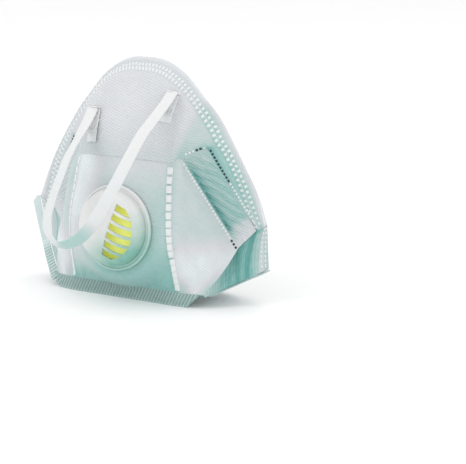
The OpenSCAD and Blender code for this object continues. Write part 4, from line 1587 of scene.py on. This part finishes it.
class DUSTMASK_OT_sides(bpy.types.Operator):
    """Build the side pleats, the rear gussets and the chin panel"""

    bl_idname = "dustmask.sides"
    bl_label = "Pleats and Gussets"

    def execute(self, context):
        upper = upper_grid()[0]
        front = front_grid()[0]
        for side, tag in ((1, "right"), (-1, "left")):
            three_layers(f"pleat_{tag}", *pleat_grid(side))
            rear, shade = gusset_grid(side)
            three_layers(f"gusset_{tag}", rear, shade)
            rear_stitches(side, rear)
            pleat_dots(side, upper, front)
        three_layers("chin", *chin_grid())
        return {"FINISHED"}


class DUSTMASK_OT_seams(bpy.types.Operator):
    """Build the welded hems"""

    bl_idname = "dustmask.seams"
    bl_label = "Seams"

    def execute(self, context):
        lower_seam()
        left_side_seam()
        right_side_seam()
        return {"FINISHED"}


class DUSTMASK_OT_nose(bpy.types.Operator):
    """Build the nose clip and the nose foam"""

    bl_idname = "dustmask.nose"
    bl_label = "Nose Clip and Foam"

    def execute(self, context):
        clip = nose_bar("nose_clip_strip", 0.86, 0.93, 2.5, 3.3, 0.35, clip_material())
        dress(clip, SHELL, "clip_metal", "nose_clip")
        foam = nose_bar("nose_foam_strip", 0.8, 0.97, 3.45, 6.95, 0.55, foam_material())
        dress(foam, SHELL, "foam", "nose_foam")
        return {"FINISHED"}


class DUSTMASK_OT_valve(bpy.types.Operator):
    """Build the valve's mouldings, flap and cap"""

    bl_idname = "dustmask.valve"
    bl_label = "Exhalation Valve"

    def execute(self, context):
        s = settings_of(context)
        color = tuple(s.shell_color)
        # The last colour of each moulding is its painted shade, deeper on the cap.
        body = moulding_material("Valve Moulding", color, 0.38, (0.36, 0.58, 0.52))
        cap = moulding_material("Cap Moulding", color, 0.3, (0.19, 0.43, 0.35))
        moulded_copy("valve_base", "valve_base_moulding", s.edge_round, body)
        moulded_copy("valve_clamp_ring", "valve_clamp_ring_moulding", s.edge_round, body)
        moulded_copy("flap_clip", "flap_clip_moulding", s.edge_round, body)
        moulded_copy("valve_cap", "valve_cap_moulding", s.edge_round, cap)
        moulded_copy("valve_flap", "valve_flap_disc", 0.08, flap_material(), body=FLAP)
        flange_bead(body)
        return {"FINISHED"}


class DUSTMASK_PT_sidebar(bpy.types.Panel):
    bl_idname = "DUSTMASK_PT_sidebar"
    bl_label = "Dust Mask"
    bl_space_type = "VIEW_3D"
    bl_region_type = "UI"
    bl_category = "Mask"

    def draw(self, context):
        column = self.layout.column()
        for name in MaskSettings.__annotations__:
            column.prop(settings_of(context), name)
        for maker in MAKERS:
            column.operator(maker.bl_idname)


MAKERS = (
    DUSTMASK_OT_stage, DUSTMASK_OT_strap, DUSTMASK_OT_upper, DUSTMASK_OT_front,
    DUSTMASK_OT_sides, DUSTMASK_OT_seams, DUSTMASK_OT_nose, DUSTMASK_OT_valve)
CLASSES = (MaskSettings, *MAKERS, DUSTMASK_PT_sidebar)


def register():
    for cls in CLASSES:
        bpy.utils.register_class(cls)
    bpy.types.Scene.dust_mask = bpy.props.PointerProperty(type=MaskSettings)


def unregister():
    del bpy.types.Scene.dust_mask
    for cls in reversed(CLASSES):
        bpy.utils.unregister_class(cls)


def main():
    register()
    bpy.ops.dustmask.stage()
    bpy.ops.dustmask.strap()
    bpy.ops.dustmask.upper()
    bpy.ops.dustmask.front()
    bpy.ops.dustmask.sides()
    bpy.ops.dustmask.seams()
    bpy.ops.dustmask.nose()
    bpy.ops.dustmask.valve()
    bpy.context.view_layer.update()


if __name__ == "__main__":
    main()
